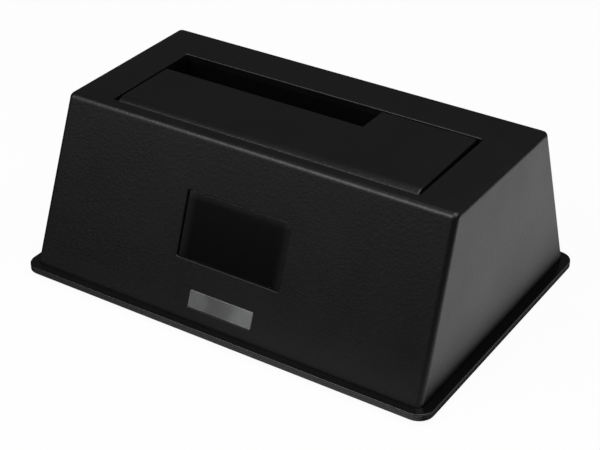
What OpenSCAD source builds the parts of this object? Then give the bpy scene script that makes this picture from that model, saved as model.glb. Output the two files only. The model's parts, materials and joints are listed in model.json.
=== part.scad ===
// Hard drive docking station: a sloped case with a sprung flap over a drive bay.
// Millimetres. The front faces -Y, the origin is on the floor under the middle of the rim.

/* [Drive bay] */
// Length of the bay opening, left to right
bay_l = 103.5; // [95:0.1:115]
// Depth of the bay opening, front to back
bay_d = 37; // [34:0.1:42]
// Length of the slot that the flap leaves for a smaller drive
slot_l = 70.8; // [60:0.1:80]
// Depth of that slot
slot_d = 11.4; // [10:0.1:14]
// Rounding of the opening's top edge
mouth_r = 0.4; // [0.2:0.05:0.8]
// Corner radius of the opening
mouth_corner_r = 0.8; // [0.4:0.1:2]
// Wall of the drive well
well_t = 1.5; // [1.2:0.1:2.2]
// Room for components between the board and the well
under_room = 6.3; // [5:0.1:10]

/* [Case] */
// Width of the top face beside each end of the opening
end_margin = 13.55; // [11:0.05:20]
// Width of the top face behind the opening
back_margin = 14.55; // [10:0.05:20]
// Thickness of the case's walls
wall_t = 2.2; // [1.6:0.1:3]
// Thickness of the case's top
top_t = 2.2; // [1.6:0.1:3]
// How far the front wall leans back over its height
front_lean = 18.5; // [12:0.1:24]
// How far the back wall leans forward over its height
back_lean = 15.9; // [10:0.1:20]
// How far each end wall leans in over its height
end_lean = 1.75; // [0.5:0.05:4]
// Rounding of the top edges
edge_r = 1.5; // [0.8:0.1:1.6]
// Radius of the top's front edge
front_edge_r = 2.1; // [1:0.1:2.4]
// Radius of the upright edges
corner_r = 1.8; // [1.7:0.1:3]

/* [Rim] */
// How far the rim stands out past the walls
rim_out = 3; // [2.8:0.1:5]
// Thickness of the whole rim, flange and base edge together
rim_t = 2.1; // [1.9:0.1:3]
// Rounding of the rim's upper edge
rim_edge_r = 0.35; // [0.2:0.05:0.6]
// Radius of the sweep from the walls into the rim
cove_r = 0.3; // [0.3:0.1:2.6]

/* [Base] */
// Thickness of the base sheet, which closes the rim from below
base_t = 1; // [0.8:0.1:1.2]
// Height of the raised panel that locates the base in the case
panel_t = 1; // [0.8:0.1:1.5]
// Clearance of that panel in the case
panel_gap = 0.25; // [0.1:0.05:0.5]
// Height that the feet stand proud of the base
foot_h = 1.5; // [1:0.1:3]
// Radius of a foot
foot_r = 5; // [3.5:0.1:6]
// Depth of the pocket that a foot is glued into
foot_pocket = 0.6; // [0.3:0.1:0.8]

/* [Flap] */
// Thickness of the flap
flap_t = 2.2; // [1.8:0.1:2.6]
// Depth of the flap below the top face
flap_sink = 0.3; // [0.1:0.05:0.8]
// Gap before and behind the flap
flap_gap = 0.4; // [0.3:0.05:0.8]
// Gap at the left end of the flap
left_gap = 0.6; // [0.5:0.05:1.4]
// Gap at its right end
end_gap = 1.2; // [0.5:0.05:1.4]
// How much wider the right gap grows towards the back
flap_taper = 0.5; // [0:0.1:3]
// Radius of the barrel along its front edge, which holds the hinge
barrel_r = 3.2; // [2.6:0.1:3.4]
// Radius that the front edge is rounded with on top
nose_r = 4.2; // [3.6:0.1:5]
// Radius of the hinge pin
pin_r = 0.9; // [0.7:0.05:1]
// Running clearance of the flap on its pin
pin_gap = 0.06; // [0.03:0.01:0.1]
// Angle that the flap swings down, in degrees
flap_open = 84; // [70:1:86]
// Clearance between the open flap's tip and the bay floor
tip_clear = 2.8; // [1.2:0.1:4]

/* [Spring] */
// Wire of the return spring
wire_d = 0.5; // [0.4:0.05:0.6]
// Turns of the return spring
spring_turns = 5; // [3:1:8]
// Gap between the turns
turn_gap = 0.5; // [0.45:0.05:0.8]
// Clearance of the spring round the pin
coil_gap = 0.3; // [0.2:0.05:0.4]

/* [Badge and window] */
// Length of the badge plate's recess
badge_l = 35.5; // [25:0.1:45]
// Height of that recess along the wall
badge_h = 20.1; // [15:0.1:22]
// Height of its middle above the underside
badge_z = 27.9; // [24:0.1:32]
// Depth of the recess
badge_depth = 1.3; // [0.6:0.1:1.4]
// Thickness of the badge plate
badge_t = 0.5; // [0.3:0.1:1]
// Gap round the badge plate
badge_gap = 0.2; // [0.1:0.05:0.8]
// Length of the light window
window_l = 22.2; // [16:0.1:30]
// Height of the light window along the wall
window_h = 5.6; // [4:0.1:6]
// Height of its middle above the underside
window_z = 8.3; // [8:0.1:10]
// Gap round the light window
window_gap = 0.1; // [0.05:0.05:0.3]

/* [Ports] */
// Clear depth between the well and the face of the ports
port_room = 22.5; // [21.6:0.1:26]
// Length of the recess that the ports open into
port_recess_l = 88; // [80:0.5:96]
// Place of the data socket, from the middle
usb_x = 4; // [0:0.5:6]
// Place of the power inlet, from the middle
jack_x = 29; // [27:0.5:32]
// Place of the power switch, from the middle
switch_x = -26; // [-30:0.5:-22]
// Gap round each port in the case
port_gap = 0.25; // [0.15:0.05:0.5]
// Radius of the power inlet's bore
jack_bore_r = 3.15; // [2.9:0.05:3.4]
// Radius of the power inlet's centre pin
jack_pin_r = 1.05; // [0.9:0.05:1.3]
// Tilt of the rocker each side of level, in degrees
rocker_tilt = 8; // [5:0.5:10]

/* [Board] */
// Length of the main board
board_l = 100; // [98:0.5:104]
// Depth of the main board
board_d = 44; // [42:0.5:48]
// Thickness of the main board
board_t = 1.6; // [1.2:0.1:2]
// Height of the posts that carry the board
post_h = 2; // [1.6:0.1:3]

/* [Hidden] */
$fn = 48;

// A hair past a face, so that a cut goes right through or two shapes join
over = 0.02;
// Steps round each corner of the case
corner_steps = 6;
// Steps round each rounded edge of the case
edge_steps = 6;
// Sides of the circle that rounds the flap's front edge
nose_sides = 96;

// Heights, from the underside of the base
panel_z = base_t + panel_t;
board_z = panel_z + post_h + board_t;
floor_z = board_z + under_room + well_t;
flap_reach = bay_d - flap_gap - barrel_r - flap_gap;
hinge_z = floor_z + tip_clear + flap_reach;
flap_z = hinge_z + barrel_r;
case_h = flap_z + flap_sink;
ceiling_z = case_h - top_t;
// Height at which the lines of the walls stand rim_out inside the rim's edge
wall_z = 3;

// Lean of each wall from upright, and its inset from the rim's edge at height z
function lean(run) = atan(run / (case_h - wall_z));
function wall_in(run, z) = rim_out + run * (z - wall_z) / (case_h - wall_z);
function inner_in(run, z) = wall_in(run, z) + wall_t / cos(lean(run));

// The top face: the front margin is what the well and the front wall need
well_gap = 0.87;
front_margin = well_t + well_gap + wall_t / cos(lean(front_lean)) - top_t * tan(lean(front_lean));
rim_l = bay_l + 2 * (end_margin + end_lean + rim_out);
rim_d = bay_d + front_margin + back_margin + front_lean + back_lean + 2 * rim_out;
rim_r = rim_out + corner_r;
bay_front = -rim_d / 2 + rim_out + front_lean + front_margin;
bay_back = bay_front + bay_d;
hinge_y = bay_front + flap_gap + barrel_r;
tip_y = bay_back - flap_gap;
slot_front = bay_back - slot_d;
slot_right = -bay_l / 2 + slot_l;
port_y = bay_back + well_t + port_room;

// Screws
screw_r = 1.25;
screw_gap = 0.05;
pilot_r = screw_r + screw_gap;
through_gap = 0.25;
through_r = screw_r + through_gap;
head_r = 2.4;
head_h = 1.8;
head_gap = 0.2;
cross_l = 2.6;
cross_w = 0.6;
cross_depth = 1;
shank_short = 1;
// Bosses of the case that take the base screws, and the posts below them
boss_r = 3.2;
boss_seat_z = 6;
boss_clear = 0.25;
boss_depth = 8;
boss_x = rim_l / 2 - inner_in(end_lean, boss_seat_z) - boss_r - boss_clear;
boss_front = -rim_d / 2 + inner_in(front_lean, boss_seat_z) + boss_r + boss_clear;
boss_back = rim_d / 2 - inner_in(back_lean, boss_seat_z) - boss_r - boss_clear;
head_seat_z = 3;
boss_spots = [for (x = [-boss_x, boss_x], y = [boss_front, boss_back]) [x, y]];
// Ears of the well, screwed up into bosses under the top
ear_t = 2;
ear_r = 3.4;
ear_drop = 7.5;
ear_z = ceiling_z - ear_drop;
ear_x = bay_l / 2 + well_t + ear_r;
ear_inset = 10;
ear_spots = [for (x = [-ear_x, ear_x], y = [bay_front + ear_inset, bay_back - ear_inset]) [x, y]];

// Feet
foot_clear = 0.2;
foot_edge = 0.8;
foot_in = 4;
foot_x = boss_x - boss_r - foot_r - foot_in;
foot_front = -rim_d / 2 + inner_in(front_lean, panel_z) + panel_gap + foot_r + foot_clear + foot_edge;
foot_back = rim_d / 2 - inner_in(back_lean, panel_z) - panel_gap - foot_r - foot_clear - foot_edge;
foot_spots = [for (x = [-foot_x, foot_x], y = [foot_front, foot_back]) [x, y]];

// Board, its back edge just inside the wall that the ports open through
board_gap = 0.8;
board_back = port_y - wall_t - board_gap;
board_front = board_back - board_d;
board_corner = 4;
post_r = 2.8;
board_screw_r = 1;
board_screw_l = 4.6;
board_hole_floor = 0.8;
board_spots = [
    for (x = [-1, 1], y = [board_front + board_corner, board_back - board_corner])
        [x * (board_l / 2 - board_corner), y]
];

// Drive connector, under the left end of the bay, against its back wall
sata_l = 41;
sata_d = 6;
sata_inset = 4;
sata_back_gap = 1;
sata_x = -bay_l / 2 + sata_inset + sata_l / 2;
sata_y = bay_back - sata_back_gap - sata_d / 2;
sata_rise = 6;
sata_top = floor_z + sata_rise;
sata_slot_d = 2.4;
sata_slot_depth = 6;
sata_pitch = 1.27;
signal_pins = 7;
power_pins = 15;
sata_slot_end = 0.8;
signal_l = signal_pins * sata_pitch + 2 * sata_slot_end;
power_l = power_pins * sata_pitch + 2 * sata_slot_end;
sata_rib = 2;
signal_x = sata_x - (signal_l + sata_rib + power_l) / 2 + signal_l / 2;
power_x = sata_x + (signal_l + sata_rib + power_l) / 2 - power_l / 2;
contact_t = 0.3;
contact_w = 0.7;
contact_sink = 0.8;
drive_seat_h = 1.6;
drive_seat_w = 2.4;
drive_seat_l = 22;
drive_seat_back = 3;
drive_seat_in = 8;
drive_seats = [sata_x + sata_l / 2 + drive_seat_in, bay_l / 2 - drive_seat_in];

// Stop tab under the flap's back edge, and the groove that it swings through
tab_l = 8;
tab_t = 1.3;
tab_out = 1;
tab_root = 4;
tab_gap = 0.2;
tab_x = (slot_right + bay_l / 2) / 2;
// Ribs of the well that the open flap leans on, and ribs under the flap
stop_t = 1.6;
stop_gap = 0.3;
stop_inset = 17;
stop_spots = [stop_inset - bay_l / 2, bay_l / 2 - stop_inset];
stop_from = 8;
stop_to = 18;
rib_t = 1.2;
rib_h = 1.2;
rib_inset = 8;
rib_mid_x = -6;
rib_end = 1;
rib_spots = [rib_inset - bay_l / 2, rib_mid_x, bay_l / 2 - rib_inset];
pin_seat_gap = 0.02;

// Return spring, in a pocket of the barrel
pitch = wire_d + turn_gap;
coil_r = pin_r + coil_gap + wire_d / 2;
spring_x = -24;
leg_l = 7;
leg_gap = 0.1;
leg_seat_gap = 0.2;
leg_bend = [[0.15, -0.5], [0.6, -0.75]];
spring_pad_w = 3;
spring_pad_top = 0.4;
spring_pad_d = hinge_y - coil_r - wire_d / 2 - leg_gap - bay_front;
spring_half = spring_turns + 0.5;
spring_l = pitch * spring_half;
pocket_gap = 0.3;
pocket_r = coil_r + wire_d / 2 + pocket_gap;
pocket_side = 0.8;
curl_rings = 8;
wire_sides = 6;

// Corners of the badge recess and the window
badge_corner_r = 0.6;
window_corner_r = 0.4;
// Light window, its flange behind the wall, and the guide to it
flange_t = 1;
flange_out = 1;
led_size = [3.2, 1.6, 3.4];
led_y = board_front + 1;
guide_t = 3;
guide_gap = 0.3;
guide_neck = 3.2;
guide_z = window_z - guide_t / 2;
guide_post_r = 1.5;
guide_post_x = 5.5;
guide_post_in = 5;
guide_flare = 6;
guide_inset = 1;

// Ports
usb_size = [12, 17.5, 12.4];
usb_sheet = 0.4;
usb_fit = 0.05;
usb_wall = 1.1;
usb_bore_depth = 9;
jack_size = [9, 14, 10.8];
jack_bore_depth = 9.5;
jack_pin_short = 0.8;
jack_rise = 0.3;
switch_size = [15, 10.5, 10.4];
switch_wall = 1;
switch_cavity_depth = 7;
pivot_in = 2.6;
pivot_r = 0.9;
rocker_side_gap = 0.25;
rocker_end_gap = 0.3;
rocker_proud = 0.8;
rocker_dip = 0.3;
rocker_lip = 1;
rocker_hub = 2;
rocker_root = 2.2;
pivot_short = 0.1;
port_sink = 0.2;
face_y = port_y - port_sink;
solder_r = 0.45;
solder_gap = 0.1;
solder_out = 1;
sata_pins_half = 3;
sata_pin_pitch = 5.1;
usb_pin_x = 4;
usb_pins_in = [10, 14];
jack_pins_in = [7, 12];
switch_pin_pitch = 3.75;
switch_pins_in = 8;

// Everything stands on the feet
module raised() {
    translate([0, 0, foot_h]) children();
}

// A place on the front wall at height z: X along it, Y up it and Z out of it
module on_front(z) {
    translate([0, -rim_d / 2 + wall_in(front_lean, z), z])
        rotate([90 - lean(front_lean), 0, 0])
            children();
}

// A rectangle with round corners, centred
module round_rect(l, d, r) {
    square([l - 2 * r, d], center = true);
    square([l, d - 2 * r], center = true);
    for (x = [-1, 1], y = [-1, 1])
        translate([x * (l / 2 - r), y * (d / 2 - r)]) circle(r);
}

// A box centred on X and Y, standing on z = 0
module block(size) {
    translate([-size[0] / 2, -size[1] / 2, 0]) cube(size);
}

// A box centred on X, whose back is at y = 0, standing on z = 0
module port_block(size) {
    translate([-size[0] / 2, -size[1], 0]) cube(size);
}

// A rod along X through the hinge axis
module hinge_rod(r, x0, x1) {
    translate([x0, hinge_y, hinge_z]) rotate([0, 90, 0]) cylinder(r = r, h = x1 - x0);
}

// One outline of the case: a rectangle with round corners at height z
function ring(z, x0, x1, y0, y1, r) = [
    for (corner = [0:3], i = [0:corner_steps])
        let (a = 90 * (corner + i / corner_steps))
            [(corner == 0 || corner == 3 ? x1 - r : x0 + r) + r * cos(a),
             (corner < 2 ? y1 - r : y0 + r) + r * sin(a), z]
];

// A ring whose sides stand in from the rim's edge
function rim_ring(z, end_in, front_in, back_in, r) =
    ring(z, end_in - rim_l / 2, rim_l / 2 - end_in, front_in - rim_d / 2, rim_d / 2 - back_in, r);

// A ring round the bay opening, grown by out
function mouth_ring(z, out) =
    ring(z, -bay_l / 2 - out, bay_l / 2 + out, bay_front - out, bay_back + out, mouth_corner_r + out);

// A solid through a stack of rings
module loft(rings) {
    n = len(rings[0]);
    last = len(rings) - 1;
    sides = [
        for (i = [0:last - 1], j = [0:n - 1])
            let (a = i * n + j, b = i * n + (j + 1) % n)
                each [[a, a + n, b + n], [a, b + n, b]]
    ];
    polyhedron(
        [for (r = rings) each r],
        concat([[for (j = [0:n - 1]) j]], sides, [[for (j = [n - 1:-1:0]) last * n + j]])
    );
}

// Inset of a finished wall at height z: the sweep, the straight wall, then the rounded top edge
function skin_in(run, z, top_r) =
    let (a = lean(run),
         cove_z = rim_t + cove_r,
         cove_in = wall_in(run, cove_z) - cove_r / cos(a),
         round_z = case_h - top_r,
         round_in = wall_in(run, round_z) + top_r / cos(a))
    z < cove_z - cove_r * sin(a) ? cove_in + sqrt(max(0, pow(cove_r, 2) - pow(cove_z - z, 2)))
    : z > round_z + top_r * sin(a) ? round_in - sqrt(max(0, pow(top_r, 2) - pow(z - round_z, 2)))
    : wall_in(run, z);
function skin_corner(z) =
    z < case_h - edge_r ? max(corner_r, rim_r - skin_in(end_lean, z, edge_r))
    : corner_r + wall_in(end_lean, z) - skin_in(end_lean, z, edge_r);
function skin_ring(z) =
    rim_ring(
        z, skin_in(end_lean, z, edge_r), skin_in(front_lean, z, front_edge_r),
        skin_in(back_lean, z, edge_r), skin_corner(z)
    );
function inner_ring(z, share, r) =
    let (t = share * wall_t)
    rim_ring(
        z, wall_in(end_lean, z) + t / cos(lean(end_lean)),
        wall_in(front_lean, z) + t / cos(lean(front_lean)),
        wall_in(back_lean, z) + t / cos(lean(back_lean)), r
    );
inner_corner_r = 1;

// The outer form of the case, from the flange's underside to the top
module outer_form() {
    flange = [
        for (i = [0:edge_steps])
            let (a = 90 * i / edge_steps, s = rim_edge_r * (1 - cos(a)))
                rim_ring(rim_t - rim_edge_r * (1 - sin(a)), s, s, s, rim_r - s)
    ];
    sweep = [for (i = [0:edge_steps]) skin_ring(rim_t + cove_r * (1 - cos(90 * i / edge_steps)))];
    rounding = [
        for (i = [0:edge_steps])
            skin_ring(case_h - max(edge_r, front_edge_r) * (1 - sin(90 * i / edge_steps)))
    ];
    loft(concat([rim_ring(base_t, 0, 0, 0, rim_r)], flange, sweep, rounding));
}

// The hollow of the case, or with a share below 1 a form inside its walls
module inner_form(share, z0, z1) {
    loft([inner_ring(z0, share, inner_corner_r), inner_ring(z1, share, inner_corner_r)]);
}

// The opening in the top, with its rounded edge
module mouth() {
    edge = [
        for (i = [0:edge_steps])
            let (a = 90 * i / edge_steps)
                mouth_ring(case_h - mouth_r * (1 - sin(a)), mouth_r * (1 - cos(a)))
    ];
    loft(concat([mouth_ring(ceiling_z - 1, 0)], edge, [mouth_ring(case_h + 1, mouth_r)]));
}

module top_housing() {
    color("#1b1b1c") raised() difference() {
        union() {
            difference() {
                outer_form();
                difference() {
                    inner_form(1, base_t - 1, ceiling_z);
                    // The wall behind the ports stands upright
                    translate([-port_recess_l / 2 - wall_t, port_y - wall_t, 0])
                        cube([port_recess_l + 2 * wall_t, rim_d, case_h]);
                }
            }
            intersection() {
                inner_form(0.5, base_t, ceiling_z);
                for (p = boss_spots)
                    translate([p[0], p[1], boss_seat_z]) cylinder(r = boss_r, h = case_h);
            }
            for (p = ear_spots)
                translate([p[0], p[1], ear_z + ear_t])
                    cylinder(r = ear_r, h = ceiling_z + top_t / 2 - ear_z - ear_t);
        }
        mouth();
        on_front(badge_z) translate([0, 0, -badge_depth])
            linear_extrude(badge_depth + 1) round_rect(badge_l, badge_h, badge_corner_r);
        on_front(window_z) translate([0, 0, -2 * wall_t])
            linear_extrude(3 * wall_t) round_rect(window_l, window_h, window_corner_r);
        translate([-port_recess_l / 2, port_y, rim_t])
            cube([port_recess_l, rim_d, case_h]);
        port_cutout(usb_x, usb_size);
        port_cutout(jack_x, jack_size);
        port_cutout(switch_x, switch_size);
        for (p = boss_spots)
            translate([p[0], p[1], boss_seat_z - over]) cylinder(r = pilot_r, h = boss_depth);
        for (p = ear_spots)
            translate([p[0], p[1], ear_z]) cylinder(r = pilot_r, h = ear_drop - shank_short);
    }
}

// A hole in the port wall, with a gap round the port that stands on the board
module port_cutout(x, size) {
    translate([x, port_y + 1, board_z - port_gap])
        port_block([size[0] + 2 * port_gap, wall_t + 2, size[2] + 2 * port_gap]);
}

module base_plate() {
    back = rim_d / 2 - inner_in(back_lean, panel_z) - panel_gap;
    front = -rim_d / 2 + inner_in(front_lean, panel_z) + panel_gap;
    panel_l = rim_l - 2 * (inner_in(end_lean, panel_z) + panel_gap);
    color("#171718") raised() difference() {
        union() {
            linear_extrude(base_t) round_rect(rim_l, rim_d, rim_r);
            difference() {
                translate([0, (front + back) / 2, base_t - over])
                    linear_extrude(panel_t + over) round_rect(panel_l, back - front, inner_corner_r);
                // Room for the wall behind the ports
                translate([-port_recess_l / 2 - wall_t - panel_gap, port_y - wall_t - panel_gap, base_t])
                    cube([port_recess_l + 2 * (wall_t + panel_gap), rim_d, panel_t + 1]);
            }
            for (p = boss_spots)
                translate([p[0], p[1], base_t - over])
                    cylinder(r = boss_r, h = boss_seat_z - base_t + over);
            for (p = board_spots)
                translate([p[0], p[1], panel_z - over]) cylinder(r = post_r, h = post_h + over);
            for (p = guide_spots)
                translate([p[0], p[1], panel_z - over])
                    cylinder(r = guide_post_r, h = guide_z - panel_z + over);
        }
        for (p = boss_spots) translate([p[0], p[1], -1]) {
            cylinder(r = through_r, h = boss_seat_z + 2);
            cylinder(r = head_r + head_gap, h = head_seat_z + 1);
        }
        for (p = board_spots)
            translate([p[0], p[1], board_hole_floor])
                cylinder(r = board_screw_r + screw_gap, h = board_z);
        for (p = foot_spots)
            translate([p[0], p[1], -1]) cylinder(r = foot_r + foot_clear, h = 1 + foot_pocket);
    }
}

// A point of the open flap: u along it from the hinge, v up through it
function open_point(u, v) = [
    hinge_y + u * cos(flap_open) + v * sin(flap_open),
    hinge_z - u * sin(flap_open) + v * cos(flap_open)
];

module drive_well() {
    under = barrel_r - flap_t - stop_gap;
    heel = open_point(stop_from, under);
    toe = open_point(stop_to, under);
    color("#141415") raised() difference() {
        union() {
            difference() {
                translate([-bay_l / 2 - well_t, bay_front - well_t, floor_z - well_t])
                    cube([bay_l + 2 * well_t, bay_d + 2 * well_t, ceiling_z - floor_z + well_t]);
                translate([-bay_l / 2, bay_front, floor_z]) cube([bay_l, bay_d, case_h]);
            }
            // Ears that the well hangs from
            for (p = ear_spots) difference() {
                translate([p[0], p[1], ear_z]) {
                    cylinder(r = ear_r, h = ear_t);
                    translate([p[0] > 0 ? -ear_r - over : 0, -ear_r, 0])
                        cube([ear_r + over, 2 * ear_r, ear_t]);
                }
                translate([-bay_l / 2, bay_front, ear_z - 1]) cube([bay_l, bay_d, ear_t + 2]);
            }
            // Ribs that the open flap leans on
            for (x = stop_spots) translate([x - stop_t / 2, 0, 0])
                rotate([90, 0, 90]) linear_extrude(stop_t)
                    polygon([[bay_front - over, toe[1]], toe, heel, [bay_front - over, heel[1]]]);
            // Pad that the spring's lower leg bears on
            translate([spring_x - spring_pad_w / 2, bay_front - over, hinge_z - leg_l])
                cube([spring_pad_w, spring_pad_d + over, leg_l - barrel_r - spring_pad_top]);
            // Pads that the drive's end rests on
            for (x = drive_seats)
                translate([x, bay_back - drive_seat_back - drive_seat_l / 2, floor_z - over])
                    block([drive_seat_w, drive_seat_l, drive_seat_h + over]);
        }
        // Hole for the connector
        translate([sata_x, sata_y, floor_z - well_t - 1])
            block([sata_l + 2 * port_gap, sata_d + 2 * port_gap, well_t + 2]);
        // Seats of the hinge pin in both end walls
        hinge_rod(pin_r + pin_seat_gap, -bay_l, bay_l);
        // Groove that the flap's stop tab swings through
        translate([tab_x - tab_l / 2 - tab_gap, bay_back - 1, hinge_z - tab_drop])
            cube([tab_l + 2 * tab_gap, 1 + tab_out - flap_gap + tab_gap, case_h]);
        for (p = ear_spots)
            translate([p[0], p[1], ear_z - 1]) cylinder(r = through_r, h = ear_t + 2);
    }
}

// How far the tab falls before it is clear of the back wall, and its place
tab_drop = sqrt(pow(flap_reach + tab_out, 2) - pow(flap_reach + flap_gap, 2)) + 2 * tab_t;

module drive_flap() {
    left = -bay_l / 2 + left_gap;
    right = bay_l / 2 - end_gap;
    nose_y = hinge_y - barrel_r + nose_r;
    pocket_x = spring_x - wire_d / 2 - pocket_side;
    pocket_l = spring_l + wire_d + 2 * pocket_side;
    color("#1c1c1d") raised() difference() {
        union() {
            translate([0, 0, flap_z - flap_t]) linear_extrude(flap_t) polygon([
                [left, hinge_y], [right, hinge_y], [right, hinge_y + barrel_r], [right - flap_taper, tip_y],
                [slot_right, tip_y], [slot_right, slot_front], [left, slot_front]
            ]);
            hinge_rod(barrel_r, left, right);
            for (x = rib_spots)
                translate([x, (hinge_y + slot_front) / 2, flap_z - flap_t - rib_h])
                    block([rib_t, slot_front - hinge_y - 2 * rib_end, rib_h + over]);
            translate([tab_x - tab_l / 2, tip_y - tab_root, ceiling_z - tab_gap - tab_t])
                cube([tab_l, tab_root + tab_out, tab_t]);
            translate([tab_x - tab_l / 2, tip_y - tab_root, ceiling_z - tab_gap - tab_t])
                cube([tab_l, tab_root, flap_z - ceiling_z + tab_gap + tab_t - flap_t / 2]);
        }
        hinge_rod(pin_r + pin_gap, -bay_l, bay_l);
        hinge_rod(pocket_r, pocket_x, pocket_x + pocket_l);
        translate([pocket_x, hinge_y - 2 * barrel_r, hinge_z - 2 * barrel_r])
            cube([pocket_l, 4 * barrel_r, 2 * barrel_r]);
        // What the rounding of the front edge takes off
        translate([-bay_l, 0, 0]) rotate([90, 0, 90]) linear_extrude(2 * bay_l) difference() {
            translate([nose_y - nose_r - 1, flap_z - nose_r]) square(nose_r + 1);
            translate([nose_y, flap_z - nose_r]) circle(r = nose_r, $fn = nose_sides);
        }
    }
}

module flap_hinge_pin() {
    color("#b8bcc0") raised() hinge_rod(pin_r, -bay_l / 2 - well_t, bay_l / 2 + well_t);
}

// The spring's wire: up from the front wall, round the pin, and out under the flap
foot_leg = [[spring_x, -coil_r, -leg_l], [spring_x, -coil_r, -leg_l / 2]];
curls = [
    for (i = [0:curl_rings * spring_half])
        let (t = i / curl_rings)
            [spring_x + pitch * t, coil_r * cos(180 - 360 * t), coil_r * sin(180 - 360 * t)]
];
flap_leg = [
    for (b = leg_bend) [spring_x + spring_l, coil_r + b[0], b[1]],
    [spring_x + spring_l, coil_r + leg_l, barrel_r - flap_t - wire_d / 2 - leg_seat_gap]
];
wire = concat(foot_leg, curls, flap_leg);
function unit(v) = v / norm(v);
function wire_ring(i) =
    let (t = unit(wire[min(i + 1, len(wire) - 1)] - wire[max(i - 1, 0)]),
         side = unit([1, 0, 0] - t[0] * t),
         up = cross(t, side))
    [for (k = [0:wire_sides - 1])
        wire[i] + wire_d / 2 * (cos(360 * k / wire_sides) * side + sin(360 * k / wire_sides) * up)];
wire_clear = min([
    for (i = [0:len(wire) - 1], j = [0:len(wire) - 1])
        if (j > i + curl_rings / 2) norm(wire[i] - wire[j])
]) - wire_d;
echo(spring_gap_to_itself = wire_clear);

module flap_spring() {
    color("#a8acb0") raised() translate([0, hinge_y, hinge_z])
        loft([for (i = [0:len(wire) - 1]) wire_ring(i)]);
}

module badge_plate() {
    color("#0a0a0b") raised() on_front(badge_z) translate([0, 0, -badge_depth])
        linear_extrude(badge_t)
            round_rect(badge_l - 2 * badge_gap, badge_h - 2 * badge_gap, badge_corner_r - badge_gap / 2);
}

module status_window() {
    l = window_l - 2 * window_gap;
    h = window_h - 2 * window_gap;
    color("#55585a") raised() on_front(window_z) {
        translate([0, 0, -wall_t - over]) linear_extrude(wall_t + over) round_rect(l, h, window_corner_r);
        translate([0, 0, -wall_t - flange_t])
            linear_extrude(flange_t)
                round_rect(l + 2 * flange_out, h + 2 * flange_out, window_corner_r);
    }
}

// The guide flares from the light on the board to the window
guide_front = -rim_d / 2 + wall_in(front_lean, guide_z + guide_t)
    + (wall_t + flange_t + guide_gap) / cos(lean(front_lean));
guide_back = board_front - guide_gap;
guide_spots = [for (x = [-1, 1]) [x * guide_post_x, guide_front + guide_post_in]];

module light_guide() {
    end_x = window_l / 2 - guide_inset;
    flare_y = guide_front + guide_flare;
    bend_y = (guide_front + guide_back) / 2;
    color("#c9d2d6") raised() translate([0, 0, guide_z]) linear_extrude(guide_t) polygon([
        [-end_x, guide_front], [end_x, guide_front], [end_x, flare_y],
        [guide_neck, bend_y], [guide_neck, guide_back], [-guide_neck, guide_back],
        [-guide_neck, bend_y], [-end_x, flare_y]
    ]);
}

module status_led() {
    color("#e8e4d0") raised() translate([0, led_y, board_z]) block(led_size);
}

// Where pins go through the board: under the drive connector and under each port
solder_spots = concat(
    [for (i = [-sata_pins_half:sata_pins_half]) [sata_x + i * sata_pin_pitch, sata_y]],
    [for (x = [-1, 1], in = usb_pins_in) [usb_x + x * usb_pin_x, face_y - in]],
    [for (in = jack_pins_in) [jack_x, face_y - in]],
    [for (x = [-1:1]) [switch_x + x * switch_pin_pitch, face_y - switch_pins_in]]
);

module main_board() {
    color("#1f5a35") raised() difference() {
        translate([-board_l / 2, board_front, board_z - board_t]) cube([board_l, board_d, board_t]);
        for (p = board_spots)
            translate([p[0], p[1], board_z - board_t - 1])
                cylinder(r = board_screw_r + screw_gap, h = board_t + 2);
        for (p = solder_spots)
            translate([p[0], p[1], board_z - board_t - 1])
                cylinder(r = solder_r + solder_gap, h = board_t + 2);
    }
}

module solder_pins() {
    color("#c8ccd0") raised() for (p = solder_spots)
        translate([p[0], p[1], board_z - board_t - solder_out])
            cylinder(r = solder_r, h = board_t + solder_out);
}

module sata_receptacle() {
    color("#101011") raised() difference() {
        translate([sata_x, sata_y, board_z]) block([sata_l, sata_d, sata_top - board_z]);
        translate([signal_x, sata_y, sata_top - sata_slot_depth])
            block([signal_l, sata_slot_d, sata_slot_depth + 1]);
        translate([power_x, sata_y, sata_top - sata_slot_depth])
            block([power_l, sata_slot_d, sata_slot_depth + 1]);
    }
}

// Contacts stand on the floor of each slot, against its back
module sata_row(x, pins) {
    for (i = [0:pins - 1])
        translate([
            x + (i - (pins - 1) / 2) * sata_pitch,
            sata_y + sata_slot_d / 2 - contact_t / 2, sata_top - sata_slot_depth
        ])
            block([contact_w, contact_t, sata_slot_depth - contact_sink]);
}

module sata_contacts() {
    color("#d8b050") raised() {
        sata_row(signal_x, signal_pins);
        sata_row(power_x, power_pins);
    }
}

module usb_shell() {
    inner = [usb_size[0] - 2 * usb_sheet, usb_size[1], usb_size[2] - 2 * usb_sheet];
    color("#c4c8cc") raised() translate([usb_x, face_y, board_z]) difference() {
        port_block(usb_size);
        translate([0, usb_sheet, usb_sheet]) port_block(inner);
    }
}

// The opening: a wide lower part with cut corners, and a narrower upper part
usb_low_w = 8.5;
usb_low_h = 7.4;
usb_cut = 1.4;
usb_high_w = 6;
usb_high_h = 2;
usb_tongue = [5.6, 8, 3.2];
usb_strip_w = 0.9;
usb_strip_l = 6;
usb_strip_t = 0.2;
usb_strip_in = 1;
usb_strip_pitch = 2.5;
usb_fine_w = 0.5;
usb_fine_pitch = 1;
usb_low_z = usb_sheet + usb_wall;
usb_tongue_drop = 0.4;
usb_tongue_z = usb_low_z + (usb_low_h - usb_tongue[2]) / 2 - usb_tongue_drop;

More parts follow.
